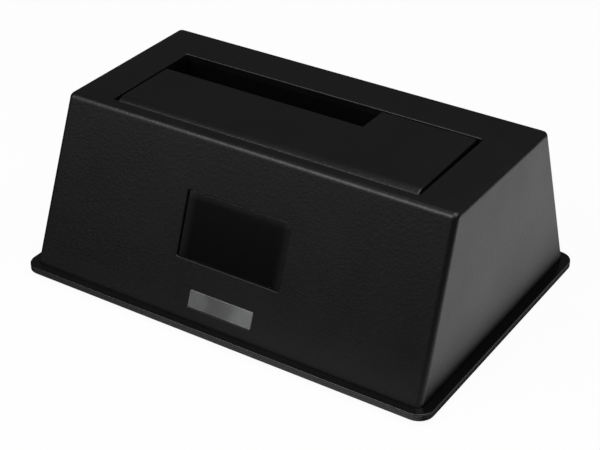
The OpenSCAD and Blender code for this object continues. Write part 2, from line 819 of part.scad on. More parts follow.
module usb_insert() {
    room = usb_sheet + usb_fit;
    size = [usb_size[0] - 2 * room, usb_size[1] - room - usb_sheet, usb_size[2] - 2 * room];
    color("#1c4fa8") raised() translate([usb_x, face_y, board_z]) {
        difference() {
            translate([0, -usb_sheet, room]) port_block(size);
            translate([0, 1, usb_low_z]) rotate([90, 0, 0]) linear_extrude(usb_bore_depth + 1) {
                polygon([
                    [-usb_low_w / 2, 0], [usb_low_w / 2, 0], [usb_low_w / 2, usb_low_h - usb_cut],
                    [usb_low_w / 2 - usb_cut, usb_low_h], [usb_cut - usb_low_w / 2, usb_low_h],
                    [-usb_low_w / 2, usb_low_h - usb_cut]
                ]);
                translate([-usb_high_w / 2, usb_low_h - over]) square([usb_high_w, usb_high_h]);
            }
        }
        translate([0, usb_tongue[1] - usb_bore_depth - over, usb_tongue_z]) port_block(usb_tongue);
    }
}

// Two contacts above and two below the tongue, and five in the upper part
module usb_contacts() {
    strip = [usb_strip_w, usb_strip_l, usb_strip_t];
    fine_strip = [usb_fine_w, usb_strip_l, usb_strip_t];
    color("#d8b050") raised() translate([usb_x, face_y - usb_bore_depth + strip[1] + usb_strip_in, board_z]) {
        for (x = [-1, 1], z = [usb_tongue_z - strip[2], usb_tongue_z + usb_tongue[2]])
            translate([x * usb_strip_pitch / 2, 0, z]) port_block(strip);
        for (i = [-2:2])
            translate([i * usb_fine_pitch, 0, usb_low_z + usb_low_h + usb_high_h - over - strip[2]])
                port_block(fine_strip);
    }
}

jack_z = jack_size[2] / 2 + jack_rise;

module dc_jack_body() {
    color("#121213") raised() translate([jack_x, face_y, board_z]) difference() {
        port_block(jack_size);
        translate([0, 1, jack_z]) rotate([90, 0, 0]) cylinder(r = jack_bore_r, h = jack_bore_depth + 1);
    }
}

module dc_jack_pin() {
    pin_l = jack_bore_depth - jack_pin_short;
    color("#c8ccd0") raised() translate([jack_x, face_y - jack_bore_depth, board_z + jack_z])
        rotate([-90, 0, 0]) cylinder(r = jack_pin_r, h = pin_l);
}

switch_z = switch_size[2] / 2;

module switch_body() {
    cavity = [switch_size[0] - 2 * switch_wall, switch_cavity_depth + 1, switch_size[2] - 2 * switch_wall];
    color("#121213") raised() translate([switch_x, face_y, board_z]) difference() {
        port_block(switch_size);
        translate([0, 1, switch_wall]) port_block(cavity);
        translate([0, -pivot_in, -1]) cylinder(r = pivot_r + pin_gap, h = switch_size[2] + 2);
    }
}

module switch_rocker() {
    half = switch_size[0] / 2 - switch_wall - rocker_end_gap;
    h = switch_size[2] - 2 * (switch_wall + rocker_side_gap);
    end_v = pivot_in + rocker_proud;
    mid_v = pivot_in - rocker_dip;
    color("#202022") raised() translate([switch_x, face_y - pivot_in, board_z + switch_z])
        rotate([0, 0, -rocker_tilt]) {
            translate([0, 0, -h / 2]) linear_extrude(h) intersection() {
                circle(half);
                polygon([
                    [-half, end_v], [-half, rocker_lip], [-rocker_hub, -rocker_root],
                    [rocker_hub, -rocker_root], [half, rocker_lip], [half, end_v], [0, mid_v]
                ]);
            }
            translate([0, 0, pivot_short - switch_size[2] / 2])
                cylinder(r = pivot_r, h = switch_size[2] - 2 * pivot_short);
        }
}

// What the board carries, placed from the middle of its back edge
chip_size = [10, 10, 1.2];
chip_at = [18, -24];
lead_pitch = 0.8;
lead_count = 10;
lead_size = [0.35, 1.2, 0.3];
memory_size = [5, 4, 1.6];
memory_at = [33, -26];
crystal_size = [11, 4.6, 3.6];
crystal_r = 2.2;
crystal_at = [18, -36];
coil_size = [7, 7, 4];
coil_corner_r = 1.2;
coil_spots = [[40, -20], [-12, -8]];
capacitor_r = 3.15;
capacitor_h = 7.7;
capacitor_spots = [[16, -10], [-9, -15.2], [39, -11]];
regulator_size = [6.5, 6.1, 2.3];
regulator_gap = 1.5;
regulator_back = -26;
regulator_at = [40, -30];
regulator_x = sata_x + sata_l / 2 + regulator_gap + regulator_size[0] / 2;
regulator_spots = [[regulator_x, regulator_back], regulator_at];
passive_size = [2, 1.25, 0.7];
passive_count = 10;
passive_pitch = 7;
passive_at = [-40, -39];

module on_board(p) {
    raised() translate([p[0], board_back + p[1], board_z]) children();
}

module bridge_chip() {
    color("#161618") on_board(chip_at) block(chip_size);
}

module chip_leads() {
    color("#c8ccd0") on_board(chip_at)
        for (side = [0:3], i = [0:lead_count - 1])
            rotate([0, 0, 90 * side])
                translate([(i - (lead_count - 1) / 2) * lead_pitch, (chip_size[1] + lead_size[1]) / 2, 0])
                    block(lead_size);
}

module memory_chip() {
    color("#161618") on_board(memory_at) block(memory_size);
}

module crystal() {
    color("#c0c4c8") on_board(crystal_at) linear_extrude(crystal_size[2])
        round_rect(crystal_size[0], crystal_size[1], crystal_r);
}

module power_coils() {
    color("#3a3a3c") for (p = coil_spots) on_board(p)
        linear_extrude(coil_size[2]) round_rect(coil_size[0], coil_size[1], coil_corner_r);
}

module capacitors() {
    color("#9aa4b0") for (p = capacitor_spots) on_board(p) cylinder(r = capacitor_r, h = capacitor_h);
}

module regulators() {
    color("#161618") for (p = regulator_spots) on_board(p) block(regulator_size);
}

module chip_passives() {
    color("#b8a078") for (i = [0:passive_count - 1])
        on_board([passive_at[0] + passive_pitch * i, passive_at[1]]) block(passive_size);
}

// A screw whose head is under z = 0 and whose shank stands above it
module screw(r, shank_l) {
    translate([0, 0, -over]) cylinder(r = r, h = shank_l + over);
    translate([0, 0, -head_h]) difference() {
        cylinder(r = head_r, h = head_h);
        for (a = [0, 90]) rotate([0, 0, a])
            translate([0, 0, -1]) block([cross_l, cross_w, 1 + cross_depth]);
    }
}

module base_screws() {
    color("#8c9094") raised() for (p = boss_spots)
        translate([p[0], p[1], head_seat_z])
            screw(screw_r, boss_seat_z - head_seat_z + boss_depth - shank_short);
}

module well_screws() {
    color("#8c9094") raised() for (p = ear_spots)
        translate([p[0], p[1], ear_z]) screw(screw_r, ear_drop - 2 * shank_short);
}

module board_screws() {
    color("#8c9094") raised() for (p = board_spots)
        translate([p[0], p[1], board_z]) mirror([0, 0, 1]) screw(board_screw_r, board_screw_l);
}

module rubber_feet() {
    color("#0e0e0f") for (p = foot_spots)
        translate([p[0], p[1], 0]) cylinder(r = foot_r, h = foot_h + foot_pocket);
}

top_housing();
base_plate();
drive_well();
drive_flap();
flap_hinge_pin();
flap_spring();
badge_plate();
status_window();
light_guide();
status_led();
main_board();
sata_receptacle();
sata_contacts();
usb_shell();
usb_insert();
usb_contacts();
dc_jack_body();
dc_jack_pin();
switch_body();
switch_rocker();
solder_pins();
bridge_chip();
chip_leads();
memory_chip();
crystal();
power_coils();
capacitors();
regulators();
chip_passives();
base_screws();
board_screws();
well_screws();
rubber_feet();
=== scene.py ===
"""Looks of a hard drive docking station: a sloped black case with a sprung flap over its drive bay.

Metres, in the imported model's own frame: the front faces -Y and the feet stand on z = 0.
"""
import json
import math

import bmesh
import bpy
from mathutils import Matrix, Vector


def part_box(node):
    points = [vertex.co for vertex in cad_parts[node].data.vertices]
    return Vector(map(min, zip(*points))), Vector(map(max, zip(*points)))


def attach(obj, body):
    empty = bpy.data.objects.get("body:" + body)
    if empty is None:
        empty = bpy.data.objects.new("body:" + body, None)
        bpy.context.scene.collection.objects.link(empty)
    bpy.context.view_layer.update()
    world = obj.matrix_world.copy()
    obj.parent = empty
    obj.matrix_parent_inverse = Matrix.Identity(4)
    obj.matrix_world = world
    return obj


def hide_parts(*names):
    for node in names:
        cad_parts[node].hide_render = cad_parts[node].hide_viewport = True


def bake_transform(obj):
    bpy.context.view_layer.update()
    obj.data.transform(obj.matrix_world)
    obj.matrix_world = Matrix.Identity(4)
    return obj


MM = 0.001

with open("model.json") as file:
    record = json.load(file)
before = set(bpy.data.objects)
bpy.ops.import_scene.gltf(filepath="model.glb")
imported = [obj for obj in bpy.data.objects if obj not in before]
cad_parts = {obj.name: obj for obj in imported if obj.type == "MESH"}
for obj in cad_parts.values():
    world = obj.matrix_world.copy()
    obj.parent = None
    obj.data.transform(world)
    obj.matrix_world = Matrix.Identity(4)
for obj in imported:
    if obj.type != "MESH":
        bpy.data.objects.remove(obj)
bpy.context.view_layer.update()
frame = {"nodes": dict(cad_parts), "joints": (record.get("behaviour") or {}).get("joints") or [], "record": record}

# View of the photograph, whose frame is 600 by 450
VIEW_AZIMUTH = math.radians(32.75)
VIEW_ELEVATION = math.radians(31.46)
VIEW_ROLL = math.radians(0.10)
VIEW_DISTANCE = 462.9 * MM
VIEW_TARGET = Vector((3.00, -5.19, 19.71)) * MM
LENS_MM = 92.91
SENSOR_MM = 36

# The case, as heights above the underside of the base
case_low, case_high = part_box("top_housing")
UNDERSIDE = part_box("base_plate")[0].z
RIM_L = case_high.x - case_low.x
RIM_D = case_high.y - case_low.y
CASE_H = case_high.z - UNDERSIDE
BASE_T = case_low.z - UNDERSIDE
WALL_T = 2.2 * MM
TOP_T = 2.2 * MM
CEILING = CASE_H - TOP_T
FRONT_LEAN = 18.5 * MM
BACK_LEAN = 15.9 * MM
END_LEAN = 1.75 * MM
WALL_FOOT = 3 * MM
EDGE_R = 1.5 * MM
FRONT_EDGE_R = 2.1 * MM
CORNER_R = 1.8 * MM
INNER_CORNER_R = 1 * MM
RIM_OUT = 3 * MM
RIM_T = 2.1 * MM
RIM_EDGE_R = 0.35 * MM
RIM_R = RIM_OUT + CORNER_R
PARTING = 0.14 * MM
BASE_EDGE_R = 0.3 * MM
CORNER_STEPS = 12
EDGE_STEPS = 12
LEAST_CORNER_R = 0.05 * MM
# How far above the rim the grain of the walls starts and is full, and how much rougher it is
GRAIN_START = 0.4 * MM
GRAIN_FULL = 0.8 * MM
GRAIN_ROUGHNESS = 0.15

# Edges sharper than SHARP are rounded, and edges sharper than CREASE are shaded as edges
SHARP = math.radians(40)
CREASE = math.radians(32)
TOLERANCE = 0.01 * MM
WELD = 1e-7
FLAT = math.radians(0.5)

# The bay and its flap
HINGE = Vector(frame["joints"][0]["pos_m"])
BARREL_R = 3.2 * MM
FLAP_T = 2.2 * MM
FLAP_GAP = 0.4 * MM
LEFT_GAP = 0.6 * MM
END_GAP = 1.2 * MM
FLAP_EDGE_R = 0.2 * MM
FLAP_RIGHT_R = 0.6 * MM
WELL_T = 1.5 * MM
MOUTH_R = 0.4 * MM
MOUTH_CORNER_R = 0.8 * MM
flap_low, flap_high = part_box("drive_flap")
BAY_L = flap_high.x - flap_low.x + LEFT_GAP + END_GAP
BAY_FRONT = HINGE.y - BARREL_R - FLAP_GAP
BAY_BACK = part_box("drive_well")[1].y - WELL_T

# Return spring, wound round the hinge
WIRE_R = 0.25 * MM
COIL_R = 1.45 * MM
COIL_TURNS = 5.5
COIL_STEPS = 48
SPRING_LEG = 7 * MM
LEG_SEAT_GAP = 0.2 * MM
LEG_STEPS = 8
BEND_DROP = 1.1 * MM
BEND_OUT = 1.6 * MM
BEND_SAG = 0.9 * MM

# Badge recess and light window on the front wall
BADGE_L = 35.5 * MM
BADGE_H = 20.1 * MM
BADGE_Z = 27.9 * MM
BADGE_DEPTH = 1.3 * MM
BADGE_T = 0.5 * MM
BADGE_GAP = 0.2 * MM
BADGE_CORNER_R = 0.6 * MM
BADGE_EDGE_R = 0.15 * MM
BADGE_BORDER = 3.4 * MM
WINDOW_L = 22.2 * MM
WINDOW_H = 5.6 * MM
WINDOW_Z = 8.3 * MM
WINDOW_GAP = 0.1 * MM
WINDOW_CORNER_R = 0.4 * MM
WINDOW_EDGE_R = 0.3 * MM
WINDOW_FLANGE = 1 * MM
WINDOW_ROOT = 0.5 * MM
FLANGE_EDGE_R = 0.1 * MM
LIP_R = 0.25 * MM

# The face that the ports open through, the data socket's shell, and the bosses inside the case
PORT_SINK = 0.2 * MM
PORT_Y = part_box("usb_shell")[1].y + PORT_SINK
PORT_GAP = 0.25 * MM
PORT_CORNER_R = 0.2 * MM
PORT_RECESS_L = 88 * MM
PORT_RECESS_TOP = 30 * MM
SHELL_T = 0.4 * MM
SHELL_EDGE = 0.1 * MM
SHELL_CORNER_R = 0.9 * MM
BOSS_R = 3.2 * MM
BOSS_SEAT = 6 * MM
EAR_R = 3.4 * MM
EAR_T = 2 * MM
PILOT_R = 1.3 * MM
PILOT_OVER = 1 * MM
SCREW_HEAD_H = 1.8 * MM

# Switch rocker: its tilt at rest and the slope and middle of each half of its face
ROCKER_PIVOT = Vector(frame["joints"][1]["pos_m"])
ROCKER_TILT = math.radians(8)
ROCKER_SLOPE = math.radians(10.06)
ROCKER_FACE_X = 2.9 * MM
ROCKER_FACE_Y = 2.815 * MM
MARK_H = 2.8 * MM
MARK_W = 0.45 * MM
MARK_T = 0.05 * MM
MARK_CORNER_R = 0.2 * MM
MARK_EDGE_R = 0.03 * MM


def add_object(name, data):
    """A new object of the scene with the given data."""
    made = bpy.data.objects.new(name, data)
    bpy.context.scene.collection.objects.link(made)
    return made


def make_camera():
    """The photograph's camera, turned round its target."""
    data = bpy.data.cameras.new("camera")
    data.lens = LENS_MM
    data.sensor_width = SENSOR_MM
    data.clip_start = 0.01
    data.clip_end = 50
    back = Vector((
        math.sin(VIEW_AZIMUTH) * math.cos(VIEW_ELEVATION),
        -math.cos(VIEW_AZIMUTH) * math.cos(VIEW_ELEVATION),
        math.sin(VIEW_ELEVATION),
    ))
    turn = (-back).to_track_quat("-Z", "Y").to_matrix().to_4x4() @ Matrix.Rotation(VIEW_ROLL, 4, "Z")
    camera = add_object("camera", data)
    camera.matrix_world = Matrix.Translation(VIEW_TARGET + back * VIEW_DISTANCE) @ turn
    bpy.context.scene.camera = camera


class Wire:
    """A socket of a node tree, or the tree itself where there is no socket.

    Arithmetic adds Math nodes, and node() adds any other node.
    """

    def __init__(self, tree, socket=None):
        self.tree = tree
        self.socket = socket

    def node(self, kind, inputs=None, settings=None, out=0):
        """Adds a node, first with its settings and then with the values or links of its sockets."""
        made = self.tree.nodes.new(kind)
        for name, value in (settings or {}).items():
            setattr(made, name, value)
        for key, value in (inputs or {}).items():
            for each in value if isinstance(value, list) else [value]:
                self.feed(made.inputs[key], each)
        return Wire(self.tree, made.outputs[out])

    def feed(self, socket, value):
        """Links a wire to a socket, or gives the socket a value."""
        if isinstance(value, Wire):
            self.tree.links.new(value.socket, socket)
        else:
            socket.default_value = value

    def math(self, operation, *terms):
        return self.node("ShaderNodeMath", dict(enumerate(terms)), {"operation": operation})

    def __add__(self, other):
        return self.math("ADD", self, other)

    __radd__ = __add__

    def __sub__(self, other):
        return self.math("SUBTRACT", self, other)

    def __rsub__(self, other):
        return self.math("SUBTRACT", other, self)

    def __mul__(self, other):
        return self.math("MULTIPLY", self, other)

    __rmul__ = __mul__

    def __truediv__(self, other):
        return self.math("DIVIDE", self, other)

    def __neg__(self):
        return self * -1

    def between(self, low, high):
        """0 below low, 1 above high, and smooth between them."""
        inputs = {"Value": self, "From Min": low, "From Max": high}
        return self.node("ShaderNodeMapRange", inputs, {"interpolation_type": "SMOOTHSTEP"})

    def tint(self, dark, light):
        """A colour between two colours, by this value."""
        inputs = {0: self, 6: (*dark, 1), 7: (*light, 1)}
        return self.node("ShaderNodeMix", inputs, {"data_type": "RGBA"}, out=2)

    def pick(self, choices):
        """One of several values, by this whole number."""
        made = self.tree.nodes.new("GeometryNodeIndexSwitch")
        made.data_type = "FLOAT"
        for _ in choices[2:]:
            made.index_switch_items.new()
        for socket, value in zip(made.inputs, [self, *choices]):
            self.feed(socket, value)
        return Wire(self.tree, made.outputs[0])

    def vector(self, x, y, z):
        return self.node("ShaderNodeCombineXYZ", {0: x, 1: y, 2: z})

    def axis(self, name):
        """The part of this vector along an axis."""
        return self.node("ShaderNodeSeparateXYZ", {0: self}, out=name)


class Finish(Wire):
    """The tree of a material on Object coordinates, built round one Principled shader."""

    def __init__(self, name, **constants):
        self.material = bpy.data.materials.new(name)
        self.material.use_nodes = True
        super().__init__(self.material.node_tree)
        self.shader = self.tree.nodes["Principled BSDF"]
        for socket, value in constants.items():
            self.shader.inputs[socket.replace("_", " ")].default_value = value
        self.place = self.node("ShaderNodeTexCoord", out="Object")

    def noise(self, size, detail=3, roughness=0.5, place=None):
        """Cloudy noise from 0 to 1 whose features are about size across."""
        inputs = {"Vector": place or self.place, "Scale": 1 / size}
        inputs |= {"Detail": detail, "Roughness": roughness}
        return self.node("ShaderNodeTexNoise", inputs)

    def cells(self, size, place=None):
        """Soft rounded cells, as on moulded leather grain."""
        inputs = {"Vector": place or self.place, "Scale": 1 / size, "Smoothness": 0.6}
        return self.node("ShaderNodeTexVoronoi", inputs, {"feature": "SMOOTH_F1"})

    def warped(self, noise_size, amount):
        """Object coordinates pushed about by noise."""
        inputs = {"Vector": self.place, "Scale": 1 / noise_size}
        noise = self.node("ShaderNodeTexNoise", inputs, out="Color")
        inputs = {0: noise, 1: (amount, amount, amount), 2: self.place}
        return self.node("ShaderNodeVectorMath", inputs, {"operation": "MULTIPLY_ADD"})

    def set(self, socket, wire):
        self.feed(self.shader.inputs[socket], wire)
        return self

    def bump(self, height, depth):
        """Relief of the given depth from a height of 0 to 1."""
        inputs = {"Height": height, "Distance": depth, "Strength": 1.0}
        return self.set("Normal", self.node("ShaderNodeBump", inputs))


def shades(colour, spread):
    """A darker and a lighter shade of a colour."""
    return [(1 - spread) * c for c in colour], [min(1, (1 + spread) * c) for c in colour]


def moulded(name, colour, roughness, grain, depth, specular=0.5, smooth_to=None):
    """Plastic with a fine leather grain, uneven in tone and gloss, and smoother up to a given height."""
    finish = Finish(name, Specular_IOR_Level=specular)
    place = finish.warped(3 * grain, 0.5 * grain)
    relief = finish.cells(grain, place) * 0.7 + finish.noise(0.35 * grain, 2) * 0.3
    cloud = finish.noise(18 * MM, 3)
    uneven = 0.12 * (cloud - 0.5) + 0.06 * (relief - 0.5)
    if smooth_to is not None:
        grained = finish.place.axis("Z").between(smooth_to + GRAIN_START, smooth_to + GRAIN_FULL)
        roughness = roughness - GRAIN_ROUGHNESS * (1 - grained)
        relief = relief * grained
    finish.set("Base Color", cloud.tint(*shades(colour, 0.15)))
    finish.set("Roughness", uneven + roughness)
    return finish.bump(relief, depth).material


def gloss(name, roughness, coat):
    """Gloss plastic with hairline marks and faint waves, which are also given for its colour."""
    finish = Finish(name, Coat_Weight=coat, Coat_Roughness=0.05)
    wave = finish.noise(6 * MM, 2)
    marks = finish.noise(0.25 * MM, 4, 0.7)
    finish.set("Roughness", roughness + 0.06 * marks.between(0.45, 0.75))
    return finish.bump(wave, 0.01 * MM), wave


def rocker_gloss():
    finish, wave = gloss("rocker_gloss", 0.28, 0.1)
    return finish.set("Base Color", wave.tint(*shades((0.01, 0.01, 0.0105), 0.2))).material


def badge_gloss():
    """Gloss black, with painted highlights along the plate's upper edge and its ends, and painted light growing
    toward its top.
    """
    finish, wave = gloss("badge_gloss", 0.13, 0.3)
    low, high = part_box("badge_plate")
    x, z = finish.place.axis("X"), finish.place.axis("Z")
    # Painted highlights near the ends and the upper edge and painted light rising toward the top, mixed with the
    # gloss waves' own tone
    ends = x.math("ABSOLUTE", x).between(high.x - BADGE_BORDER, high.x)
    upper = z.between(high.z - BADGE_BORDER, high.z)
    tone_and_painted_light = 0.4 * ends + 0.6 * upper * upper + 0.1 * z.between(low.z, high.z) + 0.05 * wave
    return finish.set("Base Color", tone_and_painted_light.tint([0.0005] * 3, [0.02] * 3)).material


def metal(name, colour, roughness, along=(1, 1, 1)):
    """Metal with fine streaks along the axes for which along is small."""
    finish = Finish(name, Metallic=1.0)
    drawn = finish.node("ShaderNodeMapping", {"Vector": finish.place, "Scale": along})
    lines = finish.noise(0.4 * MM, 4, 0.6, drawn)
    stain = finish.noise(3 * MM, 2)
    finish.set("Base Color", stain.tint(*shades(colour, 0.12)))
    finish.set("Roughness", roughness + 0.18 * (lines - 0.5) + 0.08 * (stain - 0.5))
    return finish.bump(lines, 0.006 * MM).material


def smoked_window():
    """Smoked translucent plastic with a random cloud in its tone, and painted light that makes it paler toward the
    right, where the light guide ends behind it.
    """
    finish = Finish("smoked_window", Coat_Weight=0.3, Coat_Roughness=0.15)
    cloud = finish.noise(8 * MM, 1)
    haze = finish.noise(1.5 * MM, 3)
    # Painted light: paler toward the right end, mixed with the window's own cloudy tone
    painted_side_light = finish.place.axis("X").between(-0.1 * WINDOW_L, 0.45 * WINDOW_L)
    tone_and_painted_light = 0.6 * painted_side_light + 0.4 * cloud.between(0.35, 0.65)
    finish.set("Base Color", tone_and_painted_light.tint((0.085, 0.086, 0.087), (0.175, 0.177, 0.178)))
    finish.set("Roughness", 0.3 + 0.1 * haze)
    return finish.bump(haze, 0.004 * MM).material


def board_laminate():
    """Green solder mask over copper tracks that turn by half right angles."""
    finish = Finish("board_laminate", Coat_Weight=0.35, Coat_Roughness=0.15)
    first, second = (
        finish.node(
            "ShaderNodeTexVoronoi",
            {"Vector": finish.place, "Scale": 1 / (3.2 * MM)},
            {"feature": feature, "distance": "MANHATTAN", "voronoi_dimensions": "2D"},
        )
        for feature in ("F1", "F2")
    )
    tracks = 1 - (second - first).between(0.1, 0.16)
    finish.set("Base Color", tracks.tint((0.008, 0.055, 0.022), (0.018, 0.12, 0.045)))
    finish.set("Roughness", 0.42 - 0.1 * tracks)
    return finish.bump(tracks, 0.03 * MM).material


def foot_rubber():
    finish = Finish("foot_rubber", Specular_IOR_Level=0.35)
    dust = finish.noise(1.2 * MM, 4, 0.65)
    finish.set("Base Color", dust.tint((0.008, 0.008, 0.008), (0.024, 0.024, 0.023)))
    finish.set("Roughness", 0.75 + 0.15 * dust)
    return finish.bump(finish.cells(0.35 * MM), 0.02 * MM).material


def mottled(name, size, detail, dark, light, roughness, spread, depth, **constants):
    """A finish whose colour, gloss and bumps all follow one cloud."""
    finish = Finish(name, **constants)
    cloud = finish.noise(size, detail)
    finish.set("Base Color", cloud.tint(dark, light))
    finish.set("Roughness", roughness + spread * cloud)
    return finish.bump(cloud, depth).material


BLACK = (0.003, 0.003, 0.0031)
STEEL = (0.6, 0.61, 0.62)
# Moulded plastics: colour, roughness, size and depth of the grain, and for some the specular level
# and the height up to which they are smooth, which is the rim's for the case
MOULDED = {
    "case_plastic": (BLACK, 0.39, 0.85 * MM, 0.045 * MM, 0.5, UNDERSIDE + RIM_T),
    # The well is black plastic, made darker than the case as painted shade inside the bay
    "well_plastic": ((0.0012, 0.0012, 0.0012), 0.6, 0.5 * MM, 0.012 * MM, 0.12),
    "socket_black": ((0.01, 0.01, 0.01), 0.42, 0.4 * MM, 0.01 * MM),
    "socket_blue": ((0.01, 0.06, 0.34), 0.4, 0.4 * MM, 0.01 * MM),
    "chip_resin": ((0.012, 0.012, 0.013), 0.55, 0.25 * MM, 0.008 * MM),
    "coil_ferrite": ((0.04, 0.04, 0.042), 0.62, 0.3 * MM, 0.015 * MM),
    "passive_body": ((0.45, 0.36, 0.22), 0.5, 0.3 * MM, 0.01 * MM),
}
# Metals: colour, roughness, and a scale for each axis, small along the streaks
METALS = {
    "contact_gold": ((0.78, 0.53, 0.17), 0.24, (1, 1, 0.1)),
    "shell_steel": (STEEL, 0.3, (0.08, 1, 1)),
    "pin_steel": (STEEL, 0.22, (1, 0.1, 0.1)),
    "spring_steel": ((0.45, 0.46, 0.47), 0.32),
    "tinned_lead": ((0.62, 0.63, 0.64), 0.35),
    "capacitor_can": ((0.6, 0.62, 0.65), 0.28, (1, 1, 0.1)),
    "screw_steel": ((0.4, 0.41, 0.42), 0.34, (1, 1, 0.2)),
}
WHITE_INK = mottled(
    "white_ink", 0.3 * MM, 3, (0.55, 0.55, 0.54), (0.8, 0.8, 0.79), 0.5, 0.15, 0.005 * MM,
)
FINISHES = {
    "badge_gloss": badge_gloss(),
    "rocker_gloss": rocker_gloss(),
    "smoked_window": smoked_window(),
    "board_laminate": board_laminate(),
    "foot_rubber": foot_rubber(),
    "clear_guide": mottled(
        "clear_guide", 2 * MM, 2, (0.78, 0.81, 0.83), (0.9, 0.93, 0.95), 0.06, 0.1, 0.01 * MM,
        Transmission_Weight=0.85, IOR=1.49,
    ),
    "led_resin": mottled(
        "led_resin", 0.8 * MM, 2, (0.62, 0.6, 0.46), (0.85, 0.83, 0.7), 0.25, 0.15, 0.01 * MM,
        Coat_Weight=0.4, Subsurface_Weight=0.3,
    ),
    **{name: moulded(name, *looks) for name, looks in MOULDED.items()},
    **{name: metal(name, *looks) for name, looks in METALS.items()},
}
SLOT_OF = {part["node"]: part["material_slot"] for part in frame["record"]["subparts"]}
BODY_OF = {
    node: body for body, nodes in frame["record"]["behaviour"]["bodies"].items() for node in nodes
}

# Studio: the floor is white to the eye, and reflections see a painted pool of light on it, which glows though it
# is no lamp
FLOOR_HALF = 4.0
FLOOR_WHITE = 0.9
FLOOR_GLOW = 0.95
POOL = Vector((0.08, 0.12, 0))
POOL_CORE = 0.13
POOL_EDGE = 0.27
PAPER_SCALE = 40.0
SKY = 0.04
# Painted shade of the case on the pool: where it ends beside the right end, and before the front
SHADE_START = 0.8 * MM
SHADE_END = 6.4 * MM
SHADE_FRONT = 2 * MM
# Each softbox: the direction that it stands in, its distance, width, depth and brightness
SOFTBOXES = {
    "overhead": (Vector((0.3, 0.0, 1.0)), 0.9, 0.7, 0.8, 3.0),
    "key": (Vector((-0.25, -0.63, 0.7)), 0.75, 0.5, 0.2, 6.8),
    "front_card": (Vector((-0.62, -0.7, 0.38)), 0.9, 0.72, 0.34, 0.7),
    "back_card": (Vector((-0.5, 0.7, 0.5)), 1.0, 0.8, 0.7, 0.03),
    "right_card": (Vector((0.85, 0.75, 0.35)), 1.0, 0.6, 0.4, 0.15),
}


def make_floor():
    """White paper to the camera, and to reflections a painted pool of light with a painted shade of the case on
    it.
    """
    mesh = bmesh.new()
    bmesh.ops.create_grid(mesh, x_segments=1, y_segments=1, size=FLOOR_HALF)
    floor = as_object("floor", mesh)
    material = bpy.data.materials.new("floor_paper")
    material.use_nodes = True
    tree = material.node_tree
    tree.nodes.clear()
    start = Wire(tree)
    rays = ("Camera", "Glossy", "Transmission")
    camera, glossy, clear = (start.node("ShaderNodeLightPath", out=f"Is {ray} Ray") for ray in rays)
    place = start.node("ShaderNodeTexCoord", out="Object")
    offset = start.node("ShaderNodeVectorMath", {0: place, 1: POOL}, {"operation": "SUBTRACT"})
    away = start.node("ShaderNodeVectorMath", {0: offset}, {"operation": "LENGTH"}, out="Value")
    grain = start.node("ShaderNodeTexNoise", {"Scale": PAPER_SCALE})
    white = grain.tint(*shades([FLOOR_WHITE] * 3, 0.01))
    paper = start.node("ShaderNodeBsdfDiffuse", {"Color": white})
    glow = start.node("ShaderNodeEmission", {"Strength": 1.0})
    dark = start.node("ShaderNodeEmission", {"Strength": SKY})
    seen = camera.math("MAXIMUM", camera, clear) * FLOOR_GLOW
    direct = start.node("ShaderNodeMixShader", {0: seen, 1: paper, 2: glow})
    # Painted shade on the pool everywhere except beyond the case's right end and in front of it
    across = place.axis("X").between(RIM_L / 2 + SHADE_START, RIM_L / 2 + SHADE_END)
    ahead = place.axis("Y").between(-RIM_D / 2, -RIM_D / 2 - SHADE_FRONT)
    outside_painted_shade = across.math("MAXIMUM", across, ahead)
    pool = (1 - away.between(POOL_CORE, POOL_EDGE)) * outside_painted_shade
    mirrored = start.node("ShaderNodeMixShader", {0: pool, 1: dark, 2: glow})
    mixed = start.node("ShaderNodeMixShader", {0: glossy, 1: direct, 2: mirrored})
    output = tree.nodes.new("ShaderNodeOutputMaterial")
    tree.links.new(mixed.socket, output.inputs["Surface"])
    floor.data.materials.append(material)


def make_room():
    """A dim room that the camera sees as white, and the softboxes."""
    world = bpy.data.worlds.new("room")
    bpy.context.scene.world = world
    world.use_nodes = True
    start = Wire(world.node_tree)
    camera = start.node("ShaderNodeLightPath", out="Is Camera Ray")
    background = world.node_tree.nodes["Background"]
    world.node_tree.links.new(camera.tint([SKY] * 3, [1.0] * 3).socket, background.inputs["Color"])
    for name, (toward, distance, width, depth, brightness) in SOFTBOXES.items():
        data = bpy.data.lights.new(name, "AREA")
        data.shape = "RECTANGLE"
        data.size = width
        data.size_y = depth
        data.energy = brightness * math.pi * width * depth
        lamp = add_object(name, data)
        lamp.location = toward.normalized() * distance
        lamp.rotation_euler = toward.to_track_quat("Z", "Y").to_euler()


def as_object(name, mesh):
    """Turns a bmesh into an object of the scene."""
    data = bpy.data.meshes.new(name)
    mesh.to_mesh(data)
    mesh.free()
    return add_object(name, data)


def apply_modifiers(piece):
    """Gives the piece the mesh that its modifiers make, as plain data."""
    bpy.context.view_layer.update()
    depsgraph = bpy.context.evaluated_depsgraph_get()
    baked = bpy.data.meshes.new_from_object(piece.evaluated_get(depsgraph))
    piece.modifiers.clear()
    old = piece.data
    piece.data = baked
    bpy.data.meshes.remove(old)


def modify(piece, kind, **settings):
    """Changes a piece's mesh by one modifier."""
    modifier = piece.modifiers.new(kind.lower(), kind)
    for name, value in settings.items():
        setattr(modifier, name, value)
    apply_modifiers(piece)


def carve(piece, cutter, operation="DIFFERENCE"):
    """Cuts, joins or trims a piece by a mesh or a second piece, which is used up."""
    if isinstance(cutter, bmesh.types.BMesh):
        cutter = as_object("cutter", cutter)
    modify(piece, "BOOLEAN", solver="EXACT", operation=operation, object=cutter)
    bpy.data.objects.remove(cutter)


def rounded(piece, width, segments=2):
    """Rounds all the sharp edges of a piece."""
    modify(piece, "BEVEL", width=width, segments=segments, limit_method="ANGLE", angle_limit=SHARP)


